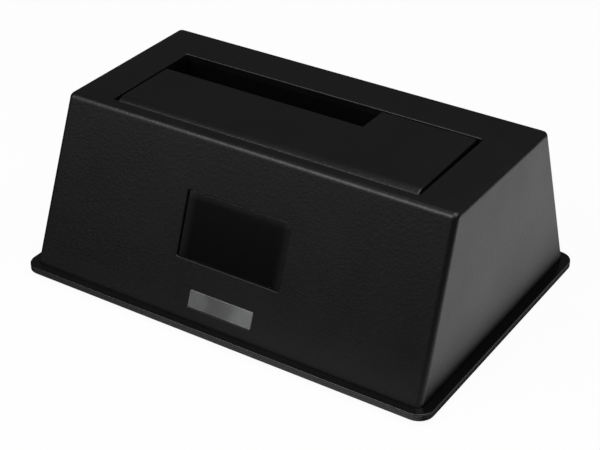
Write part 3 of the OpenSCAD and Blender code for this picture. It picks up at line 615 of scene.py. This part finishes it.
def smooth(piece):
    """Smooth shading that leaves flat faces flat and edges over the crease angle sharp."""
    piece.data.shade_smooth()
    piece.data.set_sharp_from_angle(angle=CREASE)
    modify(piece, "WEIGHTED_NORMAL", mode="FACE_AREA", weight=100, keep_sharp=True)


def coat(piece, finish):
    piece.data.materials.clear()
    piece.data.materials.append(finish)


def placed(piece, node):
    """Finishes a piece that stands for a CAD node: its shading, and the node's material, slot and body."""
    smooth(piece)
    slot = SLOT_OF[node]
    coat(piece, FINISHES[slot])
    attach(piece, BODY_OF[node])
    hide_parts(node)


def merged(node):
    """A copy of a CAD node's mesh with its triangles joined and its flat faces whole."""
    mesh = bmesh.new()
    mesh.from_mesh(frame["nodes"][node].data)
    bmesh.ops.remove_doubles(mesh, verts=mesh.verts, dist=WELD)
    bmesh.ops.dissolve_limit(mesh, angle_limit=FLAT, verts=mesh.verts, edges=mesh.edges)
    return mesh


def solids(node):
    """The boxes of a CAD node's separate solids, in order of place."""
    mesh = merged(node)
    left = set(mesh.verts)
    boxes = []
    while left:
        group = [left.pop()]
        for vert in group:
            joined = {edge.other_vert(vert) for edge in vert.link_edges} & left
            left -= joined
            group.extend(joined)
        places = [[v.co[axis] for v in group] for axis in range(3)]
        boxes.append((Vector([min(p) for p in places]), Vector([max(p) for p in places])))
    mesh.free()
    return sorted(boxes, key=lambda box: [round(value, 6) for value in box[0]])


def feet_of(boxes):
    """The middle of the underside of each box."""
    return [Vector(((low.x + high.x) / 2, (low.y + high.y) / 2, low.z)) for low, high in boxes]


def extents(node):
    """The lengths of a CAD node's first solid along X, Y and Z."""
    low, high = solids(node)[0]
    return [top - bottom for bottom, top in zip(low, high)]


def near(value, target):
    return abs(value - target) < TOLERANCE


def sharp_edges(mesh):
    return [edge for edge in mesh.edges if edge.is_manifold and edge.calc_face_angle() > SHARP]


def softened(node, width, segments=2, chosen=None):
    """A copy of a CAD solid with its sharp edges, or the chosen ones of them, rounded."""
    mesh = merged(node)
    edges = [edge for edge in sharp_edges(mesh) if chosen is None or chosen(edge)]
    bmesh.ops.bevel(
        mesh, geom=edges, offset=width, segments=segments, profile=0.5, affect="EDGES", clamp_overlap=True
    )
    return mesh


def ring(z, x0, x1, y0, y1, r):
    """A rectangle with round corners at height z."""
    points = []
    for corner in range(4):
        x = x1 - r if corner in (0, 3) else x0 + r
        y = y1 - r if corner < 2 else y0 + r
        for i in range(CORNER_STEPS + 1):
            a = math.pi / 2 * (corner + i / CORNER_STEPS)
            points.append(Vector((x + r * math.cos(a), y + r * math.sin(a), z)))
    return points


def rim_ring(z, end_in, front_in, back_in, r):
    """A ring at height z above the underside, whose sides stand in from the rim's edge."""
    return ring(
        UNDERSIDE + z, end_in - RIM_L / 2, RIM_L / 2 - end_in, front_in - RIM_D / 2, RIM_D / 2 - back_in, r
    )


def mouth_ring(z, out):
    """A ring round the bay opening, grown by out."""
    half = BAY_L / 2 + out
    return ring(UNDERSIDE + z, -half, half, BAY_FRONT - out, BAY_BACK + out, MOUTH_CORNER_R + out)


def fillet(r, steps=EDGE_STEPS):
    """Steps up a rounded edge, as pairs of the depth below its top and the distance in from its side."""
    angles = [math.pi / 2 * i / steps for i in range(steps + 1)]
    return [(r * (1 - math.sin(a)), r * (1 - math.cos(a))) for a in angles]


def lean(run):
    return math.atan(run / (CASE_H - WALL_FOOT))


def wall_in(run, z):
    """How far a wall's outer face stands in from the rim's edge at height z."""
    return RIM_OUT + run * (z - WALL_FOOT) / (CASE_H - WALL_FOOT)


def skin_in(run, z, edge=EDGE_R):
    """The same with the rounded top edge."""
    a = lean(run)
    round_z = CASE_H - edge
    if z > round_z + edge * math.sin(a):
        reach = math.sqrt(max(0, edge ** 2 - (z - round_z) ** 2))
        return wall_in(run, round_z) + edge / math.cos(a) - reach
    return wall_in(run, z)


def skin_ring(z):
    """A ring of the case's outer skin."""
    corner = max(CORNER_R, RIM_R - skin_in(END_LEAN, z))
    if z >= CASE_H - EDGE_R:
        corner = CORNER_R + wall_in(END_LEAN, z) - skin_in(END_LEAN, z)
    front_in = skin_in(FRONT_LEAN, z, FRONT_EDGE_R)
    return rim_ring(z, skin_in(END_LEAN, z), front_in, skin_in(BACK_LEAN, z), corner)


def inner_ring(z, share=1.0):
    """A ring inside the walls by a share of their thickness."""
    runs = (END_LEAN, FRONT_LEAN, BACK_LEAN)
    insets = [wall_in(run, z) + share * WALL_T / math.cos(lean(run)) for run in runs]
    return rim_ring(z, *insets, INNER_CORNER_R)


def loft(rings, closed=False):
    """A skin through rings of points, capped at both ends or closed round on itself."""
    mesh = bmesh.new()
    rows = [[mesh.verts.new(p) for p in points] for points in rings]
    pairs = list(zip(rows, rows[1:]))
    if closed:
        pairs.append((rows[-1], rows[0]))
    else:
        mesh.faces.new(rows[0][::-1])
        mesh.faces.new(rows[-1])
    for low, high in pairs:
        for j in range(len(low)):
            k = (j + 1) % len(low)
            mesh.faces.new((low[j], low[k], high[k], high[j]))
    bmesh.ops.recalc_face_normals(mesh, faces=mesh.faces)
    return mesh


def block(low, high):
    """A plain box between two corners, for cutting."""
    (x0, y0, z0), (x1, y1, z1) = low, high
    corners = ((x0, y0), (x1, y0), (x1, y1), (x0, y1))
    return loft([[Vector((x, y, z)) for x, y in corners] for z in (z0, z1)])


def lathed(rows, place, sides=64, closed=False):
    """A round solid about Z through rows of radius and height, or a ring if it is closed on itself."""
    angles = [2 * math.pi * i / sides for i in range(sides)]
    circles = [[Vector((r * math.cos(a), r * math.sin(a), z)) for a in angles] for r, z in rows]
    return loft([[place @ p for p in circle] for circle in circles], closed)


def rods(spots, r, z0, z1):
    """Upright rods on spots, for joining to a piece or cutting it."""
    mesh = bmesh.new()
    for spot in spots:
        place = Matrix.Translation((spot.x, spot.y, (z0 + z1) / 2))
        bmesh.ops.create_cone(
            mesh, cap_ends=True, segments=32, radius1=r, radius2=r, depth=z1 - z0, matrix=place
        )
    return mesh


def patch(length, height, corner, z, out, place):
    """A rectangle with round corners, grown by out, at height z over a place."""
    x, y = length / 2 + out, height / 2 + out
    return [place @ p for p in ring(z, -x, x, -y, y, max(corner + out, LEAST_CORNER_R))]


def flared(length, height, corner, depth, lip, place):
    """A cutter whose mouth opens out, to leave a round edge. Z points out of the wall."""
    shape = (length, height, corner)
    edge = [patch(*shape, -down, out, place) for down, out in fillet(lip, 5)]
    return loft([patch(*shape, -depth, 0, place), *edge, patch(*shape, 3 * lip, lip, place)])


def slab(length, height, corner, back, front, edge, place):
    """A plate with round corners and a rounded front edge."""
    shape = (length, height, corner)
    rounding = [patch(*shape, front - down, -inward, place) for down, inward in fillet(edge, 8)]
    return loft([patch(*shape, back, 0, place), *rounding])


def on_front(z):
    """A place on the front wall at height z: X along it, Y up it and Z out of it."""
    at = Vector((0, -RIM_D / 2 + wall_in(FRONT_LEAN, z), UNDERSIDE + z))
    return Matrix.Translation(at) @ Matrix.Rotation(math.pi / 2 - lean(FRONT_LEAN), 4, "X")


def facing_back(low=Vector(), high=Vector(), y=0):
    """A place that faces back at y, in the middle of a box: Y up and Z out."""
    at = ((low.x + high.x) / 2, y, (low.z + high.z) / 2)
    return Matrix.Translation(at) @ Matrix.Rotation(math.pi, 4, "Z") @ Matrix.Rotation(math.pi / 2, 4, "X")


def make_housing():
    """The shell in one skin, from the parting line up, over the top and back down inside."""
    parting = [
        rim_ring(BASE_T + up, *[inward] * 3, RIM_R - inward) for inward, up in fillet(PARTING, 4)
    ]
    flange = [
        rim_ring(RIM_T - down, *[inward] * 3, RIM_R - inward) for down, inward in fillet(RIM_EDGE_R)
    ]
    foot = [skin_ring(RIM_T)]
    rounding = [skin_ring(CASE_H - down) for down, inward in fillet(FRONT_EDGE_R)]
    mouth = [mouth_ring(CASE_H - down, out) for down, out in reversed(fillet(MOUTH_R, 6))]
    inside = [mouth_ring(CEILING, 0), inner_ring(CEILING), inner_ring(BASE_T)]
    skin = loft(parting + flange + foot + rounding + mouth + inside, closed=True)
    housing = as_object("case_top", skin)

    half = PORT_RECESS_L / 2
    recess_top = UNDERSIDE + PORT_RECESS_TOP
    wedge = as_object("wedge", loft([inner_ring(z, 0.5) for z in (BASE_T, PORT_RECESS_TOP)]))
    trim = block((-half - WALL_T, PORT_Y - WALL_T, 0), (half + WALL_T, RIM_D, recess_top + WALL_T))
    carve(wedge, trim, "INTERSECT")
    carve(housing, wedge, "UNION")
    carve(housing, block((-half, PORT_Y, UNDERSIDE + RIM_T), (half, RIM_D, recess_top)))
    add_bosses(housing)

    for node in ("usb_shell", "dc_jack_body", "switch_body"):
        low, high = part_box(node)
        size = [high.x - low.x + 2 * PORT_GAP, high.z - low.z + 2 * PORT_GAP]
        carve(housing, flared(*size, PORT_CORNER_R, 2 * WALL_T, LIP_R, facing_back(low, high, PORT_Y)))
    carve(housing, flared(BADGE_L, BADGE_H, BADGE_CORNER_R, BADGE_DEPTH, LIP_R, on_front(BADGE_Z)))
    window = (WINDOW_L, WINDOW_H, WINDOW_CORNER_R, 2 * WALL_T, 0.6 * LIP_R)
    carve(housing, flared(*window, on_front(WINDOW_Z)))
    placed(housing, "top_housing")


def add_bosses(housing):
    """The bosses inside the case that take the base's and the well's screws."""
    corner_spots = feet_of(solids("base_screws"))
    corner_bosses = as_object("bosses", rods(corner_spots, BOSS_R, UNDERSIDE + BOSS_SEAT, case_high.z))
    carve(corner_bosses, loft([inner_ring(z, 0.5) for z in (BASE_T, CEILING)]), "INTERSECT")
    carve(housing, corner_bosses, "UNION")
    ear_spots = feet_of(solids("well_screws"))
    ear_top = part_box("well_screws")[0].z + SCREW_HEAD_H + EAR_T
    carve(housing, rods(ear_spots, EAR_R, ear_top, case_high.z - TOP_T / 2), "UNION")
    for node, spots in (("base_screws", corner_spots), ("well_screws", ear_spots)):
        low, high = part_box(node)
        carve(housing, rods(spots, PILOT_R, low.z, high.z + PILOT_OVER))


def make_base():
    """The CAD base with the edges of its sheet rounded, and those of its posts left as they are."""
    def on_sheet(edge):
        return all(v.co.z < UNDERSIDE + BASE_T + TOLERANCE for v in edge.verts)

    placed(as_object("base", softened("base_plate", BASE_EDGE_R, 3, on_sheet)), "base_plate")


def make_flap():
    """The CAD flap with its upper edges and the outlines of its ends rounded, the right end the most."""
    mesh = merged("drive_flap")
    weight = mesh.edges.layers.float.new("bevel_weight_edge")
    for edge in sharp_edges(mesh):
        ends = [v.co for v in edge.verts]
        off_bore = all(math.hypot(p.y - HINGE.y, p.z - HINGE.z) > BARREL_R / 2 for p in ends)
        if off_bore and all(p.x > flap_high.x - FLAP_RIGHT_R for p in ends):
            edge[weight] = 1.0
            continue
        on_left = off_bore and all(near(p.x, flap_low.x) for p in ends)
        if on_left or all(near(p.z, flap_high.z) for p in ends):
            edge[weight] = FLAP_EDGE_R / FLAP_RIGHT_R
    flap = as_object("flap", mesh)
    modify(flap, "BEVEL", width=FLAP_RIGHT_R, segments=6, limit_method="WEIGHT", use_clamp_overlap=False)
    placed(flap, "drive_flap")


def make_front_pieces():
    badge = slab(
        BADGE_L - 2 * BADGE_GAP, BADGE_H - 2 * BADGE_GAP, BADGE_CORNER_R - BADGE_GAP / 2,
        -BADGE_DEPTH, BADGE_T - BADGE_DEPTH, BADGE_EDGE_R, on_front(BADGE_Z),
    )
    placed(as_object("badge", badge), "badge_plate")
    length, height = WINDOW_L - 2 * WINDOW_GAP, WINDOW_H - 2 * WINDOW_GAP
    place = on_front(WINDOW_Z)
    lens = slab(length, height, WINDOW_CORNER_R, -WALL_T - WINDOW_ROOT, 0, WINDOW_EDGE_R, place)
    flange = slab(
        length + 2 * WINDOW_FLANGE, height + 2 * WINDOW_FLANGE, WINDOW_CORNER_R,
        -WALL_T - WINDOW_FLANGE, -WALL_T, FLANGE_EDGE_R, place,
    )
    window = as_object("window", lens)
    carve(window, flange, "UNION")
    placed(window, "status_window")


# Plain moulded pieces: the CAD node, the piece's name and the rounding of its edges
MOULDED_PIECES = {
    "drive_well": ("well", 0.25 * MM),
    "sata_receptacle": ("drive_socket", 0.2 * MM),
    "usb_insert": ("data_insert", 0.15 * MM),
    "usb_contacts": ("data_contacts", 0.05 * MM),
    "switch_body": ("switch_frame", 0.25 * MM),
    "switch_rocker": ("rocker", 0.2 * MM),
    "light_guide": ("guide", 0.25 * MM),
    "status_led": ("led", 0.3 * MM),
    "bridge_chip": ("chip", 0.12 * MM),
    "memory_chip": ("memory", 0.12 * MM),
    "crystal": ("crystal_can", 0.4 * MM),
    "power_coils": ("coils", 0.4 * MM),
    "regulators": ("regulator_bodies", 0.2 * MM),
}


def make_data_shell():
    """The data socket's folded steel shell, open towards the back."""
    low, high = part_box("usb_shell")
    place = facing_back(low, high, high.y)
    shape = (high.x - low.x, high.z - low.z, SHELL_CORNER_R)
    depth = high.y - low.y
    # Steps from the closed end over the mouth's edge and back inside: height, and growth of the outline
    rows = (
        (-depth, 0), (-SHELL_EDGE, 0), (0, -SHELL_EDGE),
        (0, SHELL_EDGE - SHELL_T), (-SHELL_EDGE, -SHELL_T), (SHELL_T - depth, -SHELL_T),
    )
    shell = loft([patch(*shape, z, out, place) for z, out in rows])
    placed(as_object("data_shell", shell), "usb_shell")


def make_power_inlet():
    """The power inlet's body with its round bore, and its centre pin with a rounded tip."""
    low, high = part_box("dc_jack_body")
    pin_low, pin_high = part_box("dc_jack_pin")
    edge_r, bore_r, lip = 0.3 * MM, 3.15 * MM, 0.35 * MM
    body = as_object("inlet", block(low, high))
    rounded(body, edge_r, 3)
    place = facing_back(pin_low, pin_high, high.y)
    depth = high.y - pin_low.y
    mouth = [(bore_r + out, -down) for down, out in fillet(lip, 5)]
    carve(body, lathed([(bore_r, -depth), *mouth, (bore_r + lip, lip)], place))
    placed(body, "dc_jack_body")
    pin_r = (pin_high.x - pin_low.x) / 2
    tip_z = pin_high.y - high.y
    tip = [(pin_r - inward, tip_z - down) for down, inward in fillet(pin_r, 8)[:-1]]
    pin = lathed([(pin_r, -depth), *tip, (0.1 * pin_r, tip_z)], place, 32)
    placed(as_object("inlet_pin", pin), "dc_jack_pin")


def make_hinge_pin():
    low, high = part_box("flap_hinge_pin")
    r = (high.z - low.z) / 2
    chamfer = 0.2 * MM
    place = Matrix.Translation((low.x, HINGE.y, HINGE.z)) @ Matrix.Rotation(math.pi / 2, 4, "Y")
    length = high.x - low.x
    rows = [(r - chamfer, 0), (r, chamfer), (r, length - chamfer), (r - chamfer, length)]
    placed(as_object("hinge_pin", lathed(rows, place)), "flap_hinge_pin")


def make_rocker_marks():
    """A bar and a ring on the two halves of the rocker's face."""
    pivot = Matrix.Translation(ROCKER_PIVOT) @ Matrix.Rotation(-ROCKER_TILT, 4, "Z")
    marks = bmesh.new()
    for side in (-1, 1):
        at = Matrix.Translation((side * ROCKER_FACE_X, ROCKER_FACE_Y, 0))
        place = pivot @ at @ Matrix.Rotation(side * ROCKER_SLOPE, 4, "Z") @ facing_back()
        if side < 0:
            shape = slab(MARK_W, MARK_H, MARK_CORNER_R, -MARK_T, MARK_T, MARK_EDGE_R, place)
        else:
            r = MARK_H / 2
            rows = [(r, -MARK_T), (r, MARK_T), (r - MARK_W, MARK_T), (r - MARK_W, -MARK_T)]
            shape = lathed(rows, place, 48, closed=True)
        data = bpy.data.meshes.new("mark")
        shape.to_mesh(data)
        shape.free()
        marks.from_mesh(data)
        bpy.data.meshes.remove(data)
    piece = as_object("rocker_marks", marks)
    smooth(piece)
    coat(piece, WHITE_INK)
    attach(piece, "rocker")


class Recipe(Wire):
    """A Geometry Nodes tree that sets a shape out on spots, with named inputs for its sizes."""

    def __init__(self, name, *sizes):
        super().__init__(bpy.data.node_groups.new(name, "GeometryNodeTree"))

        def socket(label, kind, in_out="INPUT"):
            kind = "NodeSocket" + kind
            return self.tree.interface.new_socket(label, in_out=in_out, socket_type=kind).identifier

        socket("Piece", "Geometry", "OUTPUT")
        socket("Spots", "Geometry")
        self.keys = {size: socket(size, "Float") for size in sizes}
        self.keys["Finish"] = socket("Finish", "Material")
        entry = self.tree.nodes.new("NodeGroupInput")
        self.size = {name: Wire(self.tree, entry.outputs[name]) for name in ("Spots", "Finish", *sizes)}

    def turned(self, rows, sides):
        """A solid of revolution about Z through rows of radius and height, from pole to pole."""
        count = len(rows)
        grid = self.node("GeometryNodeMeshGrid", {"Vertices X": sides + 1, "Vertices Y": count})
        index = self.node("GeometryNodeInputIndex")
        row = index.math("MODULO", index, count)
        angle = index.math("FLOOR", index / count) * (2 * math.pi / sides)
        radius = row.pick([r for r, z in rows])
        height = row.pick([z for r, z in rows])
        x, y = (radius * angle.math(part, angle) for part in ("COSINE", "SINE"))
        place = self.vector(x, y, height)
        shape = self.node("GeometryNodeSetPosition", {"Geometry": grid, "Position": place})
        return self.node("GeometryNodeMergeByDistance", {"Geometry": shape, "Distance": 1e-6})

    def box(self, x, y, z, steps=2, at=(0, 0, 0)):
        """A box with steps points along its length, which is Y."""
        inputs = {"Size": self.vector(x, y, z), "Vertices Y": steps}
        cube = self.node("GeometryNodeMeshCube", inputs)
        return self.moved(cube, self.vector(*at))

    def moved(self, shape, offset):
        return self.node("GeometryNodeSetPosition", {"Geometry": shape, "Offset": offset})

    def along(self, axis):
        """A point's own place along an axis."""
        return self.node("GeometryNodeInputPosition").axis(axis)

    def tube(self, curve, sides, radius):
        """A round bar along a curve, closed at its ends."""
        inputs = {"Resolution": sides, "Radius": radius}
        section = self.node("GeometryNodeCurvePrimitiveCircle", inputs)
        inputs = {"Curve": curve, "Profile Curve": section, "Fill Caps": True}
        return self.node("GeometryNodeCurveToMesh", inputs)

    def combined(self, operation, *shapes):
        """Shapes made one solid, or cut from the first."""
        settings = {"operation": operation, "solver": "EXACT"}
        inputs = {"Mesh 2": list(shapes)}
        if operation == "DIFFERENCE":
            inputs = {"Mesh 1": shapes[0], "Mesh 2": list(shapes[1:])}
        return self.node("GeometryNodeMeshBoolean", inputs, settings)

    def set_out(self, shape, tip=0.0):
        """Puts the shape on each spot, tipped about X and turned about Z as the spot says."""
        inputs, settings = {"Name": "turn"}, {"data_type": "FLOAT"}
        turn = self.node("GeometryNodeInputNamedAttribute", inputs, settings)
        angles = self.vector(tip, 0, turn)
        inputs = {"Points": self.size["Spots"], "Instance": shape, "Rotation": angles}
        return self.finished(self.node("GeometryNodeInstanceOnPoints", inputs))

    def finished(self, shape):
        """Makes the shape the tree's outcome, with the finish on it."""
        solid = self.node("GeometryNodeRealizeInstances", {"Geometry": shape})
        inputs = {"Geometry": solid, "Material": self.size["Finish"]}
        coated = self.node("GeometryNodeSetMaterial", inputs)
        output = self.tree.nodes.new("NodeGroupOutput")
        self.tree.links.new(coated.socket, output.inputs["Piece"])
        return self


def grown(name, recipe, node, sizes, spots=None, turns=None, path=False):
    """A piece that a recipe makes on spots or along a path, as a plain mesh with its faces outward.

    The spots are the feet of the CAD node's solids where none are given.
    """
    spots = spots or feet_of(solids(node))
    data = bpy.data.meshes.new(name)
    data.from_pydata(spots, [(i, i + 1) for i in range(len(spots) - 1)] if path else [], [])
    if turns:
        data.attributes.new("turn", "FLOAT", "POINT").data.foreach_set("value", turns)
    piece = add_object(name, data)
    modifier = piece.modifiers.new("recipe", "NODES")
    modifier.node_group = recipe.tree
    modifier[recipe.keys["Finish"]] = FINISHES[SLOT_OF[node]]
    for size, value in sizes.items():
        modifier[recipe.keys[size]] = value
    apply_modifiers(piece)
    mesh = bmesh.new()
    mesh.from_mesh(piece.data)
    bmesh.ops.recalc_face_normals(mesh, faces=mesh.faces)
    mesh.to_mesh(piece.data)
    mesh.free()
    return piece


def screw_recipe():
    """A pan-head screw: a domed head with a cross, and a threaded shank above it."""
    recipe = Recipe(
        "screw", "Head radius", "Head height", "Shank radius", "Shank length",
        "Cross length", "Cross width", "Cross depth", "Thread pitch", "Tip",
    )
    size = recipe.size
    head_r, head_h = size["Head radius"], size["Head height"]
    shank_r, shank_l = size["Shank radius"], size["Shank length"]
    edge = head_h * 0.5
    crown = [(0.0, -head_h), (0.5 * (head_r - edge), head_h * -0.98)]
    dome = [(head_r - inward, up - head_h * 0.92) for inward, up in fillet(edge, 6)]
    core_r = shank_r * 0.8
    shank = [(head_r, 0.0), (core_r, 0.0), (core_r, shank_l - shank_r)]
    point = [(core_r * 0.4, shank_l), (0.0, shank_l)]
    body = recipe.turned(crown + dome + shank + point, 32)
    long, wide, deep = size["Cross length"], size["Cross width"], size["Cross depth"] * 2
    arms = [recipe.box(x, y, deep, at=(0, 0, -head_h)) for x, y in ((long, wide), (wide, long))]
    pitch = size["Thread pitch"]
    turns = (shank_l - shank_r * 1.5) / pitch
    inputs = {
        "Resolution": 16, "Rotations": turns, "Start Radius": core_r, "End Radius": core_r,
        "Height": turns * pitch,
    }
    helix = recipe.node("GeometryNodeCurveSpiral", inputs)
    ridge = recipe.tube(helix, 4, shank_r * 0.2)
    thread = recipe.moved(ridge, recipe.vector(0, 0, pitch * 0.5))
    cut = recipe.combined("DIFFERENCE", body, *arms)
    return recipe.set_out(recipe.combined("UNION", cut, thread), size["Tip"])


def make_screws():
    recipe = screw_recipe()
    # Each set: the CAD node, the piece's name, the shank's radius, and whether the head is on top
    sets = (
        ("base_screws", "base_screw_set", 1.25 * MM, False),
        ("well_screws", "well_screw_set", 1.25 * MM, False),
        ("board_screws", "board_screw_set", 1 * MM, True),
    )
    for node, name, shank_r, head_up in sets:
        boxes = solids(node)
        low, high = boxes[0]
        seat = high.z - SCREW_HEAD_H if head_up else low.z + SCREW_HEAD_H
        sizes = {
            "Head radius": (high.x - low.x) / 2, "Head height": SCREW_HEAD_H,
            "Shank radius": shank_r, "Shank length": high.z - low.z - SCREW_HEAD_H,
            "Cross length": 2.6 * MM, "Cross width": 0.6 * MM, "Cross depth": 1 * MM,
            "Thread pitch": 0.8 * MM, "Tip": math.pi if head_up else 0.0,
        }
        spots = [Vector((spot.x, spot.y, seat)) for spot in feet_of(boxes)]
        # Each screw was driven home at an angle of its own
        turns = [0.5 + 1.1 * i for i in range(len(spots))]
        placed(grown(name, recipe, node, sizes, spots, turns), node)


def foot_rows(r, h, edge, dish):
    """A rubber foot with a rounded edge and a shallow dish."""
    rows = [(0.0, dish), (r * 0.5, dish), (r * 0.56, dish * 0.8), (r * 0.62, dish * 0.2), (r * 0.66, 0.0)]
    rows += [(r - inward, up) for inward, up in fillet(edge, 6)]
    return rows + [(r, h), (0.0, h)]


def pin_rows(r, h, stub):
    """A pin through the board, with a cone of solder under it."""
    tip = [(0.0, 0.0), (r * 0.75, 0.0), (r, stub * 0.15), (r, stub * 0.4)]
    cone = [(r * 1.2, stub * 0.65), (r * 1.6, stub * 0.88), (r * 2, stub * 0.995), (r, stub)]
    return tip + cone + [(r, h), (0.0, h)]


def can_rows(r, h, bead):
    """An aluminium can with a rolled bead and a crimped top."""
    rows = [(0.0, 0.0), (r * 0.94, 0.0), (r, r * 0.08), (r, r * 0.3), (r - bead * 0.7, r * 0.38)]
    rows += [(r - bead, r * 0.46), (r - bead * 0.7, r * 0.54), (r, r * 0.62)]
    rows += [(r - inward, h - down) for down, inward in fillet(r * 0.16, 5)]
    return rows + [(r * 0.78, h), (r * 0.74, h - r * 0.05), (0.0, h - r * 0.05)]


# Turned pieces: the CAD node, the sides of the circle, the rows of the outline, and the sizes they add
TURNED_PIECES = {
    "feet": ("rubber_feet", 48, foot_rows, {"Edge": 0.5 * MM, "Dish": 0.25 * MM}),
    "pins": ("solder_pins", 20, pin_rows, {"Stub": 1 * MM}),
    "cans": ("capacitors", 40, can_rows, {"Bead": 0.35 * MM}),
}


def make_turned(name):
    node, sides, rows_of, added = TURNED_PIECES[name]
    x, y, z = extents(node)
    sizes = {"Radius": x / 2, "Height": z, **added}
    recipe = Recipe(name, *sizes)
    rows = rows_of(*(recipe.size[key] for key in sizes))
    recipe.set_out(recipe.turned(rows, sides))
    placed(grown(name, recipe, node, sizes), node)


def make_drive_contacts():
    """Sprung contact blades that bow out into the socket's slots, with tapered tips."""
    recipe = Recipe("blade", "Width", "Thickness", "Length", "Bow")
    size = recipe.size
    length = size["Length"]
    strip = recipe.box(size["Width"], length, size["Thickness"], steps=12)
    share = recipe.along(1) / length + 0.5
    wave = share.math("SINE", share * math.pi)
    narrow = recipe.along(0) * share.between(0.8, 1.05) * -0.6
    bent = recipe.moved(strip, recipe.vector(narrow, 0, wave * wave * size["Bow"]))
    inputs = {"Geometry": bent, "Rotation": (math.pi / 2, 0, 0)}
    upright = recipe.node("GeometryNodeTransform", inputs)
    recipe.set_out(recipe.moved(upright, recipe.vector(0, 0, length / 2)))
    x, y, z = extents("sata_contacts")
    sizes = {"Width": x, "Thickness": y, "Length": z, "Bow": 0.45 * MM}
    placed(grown("drive_contacts", recipe, "sata_contacts", sizes), "sata_contacts")


def make_chip_leads():
    """Gull-wing leads, which step down from the chip's side to the board."""
    recipe = Recipe("lead", "Width", "Thickness", "Length", "Rise")
    size = recipe.size
    length, thick = size["Length"], size["Thickness"]
    strip = recipe.box(size["Width"], length, thick, steps=14)
    share = recipe.along(1) / length + 0.5
    drop = (1 - share.between(0.2, 0.62)) * size["Rise"]
    recipe.set_out(recipe.moved(strip, recipe.vector(0, 0, drop + thick / 2)))
    chip_low, chip_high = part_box("bridge_chip")
    spots = feet_of(solids("chip_leads"))
    middle = (chip_low + chip_high) / 2
    turns = []
    for spot in spots:
        away = spot - middle
        quarter_turns = round((math.atan2(away.y, away.x) - math.pi / 2) / (math.pi / 2))
        turns.append(quarter_turns * math.pi / 2)
    across, along = sorted(extents("chip_leads")[:2])
    sizes = {"Width": across, "Thickness": 0.15 * MM, "Length": along, "Rise": 0.5 * MM}
    placed(grown("leads", recipe, "chip_leads", sizes, spots, turns), "chip_leads")


def make_passives():
    """Small chip parts, whose end caps stand a little proud."""
    recipe = Recipe("passive", "Length", "Width", "Height", "Cap")
    size = recipe.size
    length, width, height, cap = (size[name] for name in ("Length", "Width", "Height", "Cap"))
    body = recipe.box(length - cap, width * 0.92, height * 0.9, at=(0, 0, height * 0.5))
    shift = (length - cap) * 0.5
    caps = [recipe.box(cap, width, height, at=(x, 0, height * 0.5)) for x in (shift, -shift)]
    recipe.set_out(recipe.combined("UNION", body, *caps))
    x, y, z = extents("chip_passives")
    sizes = {"Length": x, "Width": y, "Height": z, "Cap": 0.4 * MM}
    piece = grown("passives", recipe, "chip_passives", sizes)
    rounded(piece, 0.05 * MM)
    placed(piece, "chip_passives")


def spring_path():
    """The spring's wire: up from the front wall, round the pin, and out under the flap."""
    low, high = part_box("flap_spring")
    x0, x1 = low.x + WIRE_R, high.x - WIRE_R
    steps = int(COIL_TURNS * COIL_STEPS)
    points = [Vector((x0, -COIL_R, -SPRING_LEG * (1 - i / LEG_STEPS))) for i in range(LEG_STEPS)]
    for i in range(steps + 1):
        a = math.pi - 2 * math.pi * i / COIL_STEPS
        points.append(Vector((x0 + (x1 - x0) * i / steps, COIL_R * math.cos(a), COIL_R * math.sin(a))))
    # The last leg bends away from the coil to lie against the flap
    seat = BARREL_R - FLAP_T - WIRE_R - LEG_SEAT_GAP
    bend = (
        Vector((x1, COIL_R, 0)),
        Vector((x1, COIL_R, -BEND_DROP)),
        Vector((x1, COIL_R + BEND_OUT, seat - BEND_SAG)),
    )
    for i in range(1, LEG_STEPS + 1):
        t = i / LEG_STEPS
        points.append(bend[0] * (1 - t) ** 2 + bend[1] * 2 * t * (1 - t) + bend[2] * t ** 2)
    points.append(Vector((x1, COIL_R + SPRING_LEG, seat)))
    return [Vector((p.x, p.y + HINGE.y, p.z + HINGE.z)) for p in points]


def make_spring():
    recipe = Recipe("wire", "Wire radius")
    curve = recipe.node("GeometryNodeMeshToCurve", {0: recipe.size["Spots"]})
    recipe.finished(recipe.tube(curve, 14, recipe.size["Wire radius"]))
    path = spring_path()
    spring = grown("spring", recipe, "flap_spring", {"Wire radius": WIRE_R}, path, path=True)
    smooth(spring)
    coat(spring, FINISHES["spring_steel"])
    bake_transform(spring)
    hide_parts("flap_spring")


bpy.context.scene.view_settings.view_transform = "Standard"
make_camera()
make_floor()
make_room()
make_housing()
make_base()
make_flap()
make_front_pieces()
for cad_node, (piece_name, edge_r) in MOULDED_PIECES.items():
    placed(as_object(piece_name, softened(cad_node, edge_r)), cad_node)
make_data_shell()
make_power_inlet()
make_hinge_pin()
make_rocker_marks()
make_screws()
make_turned("feet")
make_drive_contacts()
make_chip_leads()
make_turned("pins")
make_turned("cans")
make_passives()
make_spring()
coat(frame["nodes"]["main_board"], FINISHES["board_laminate"])
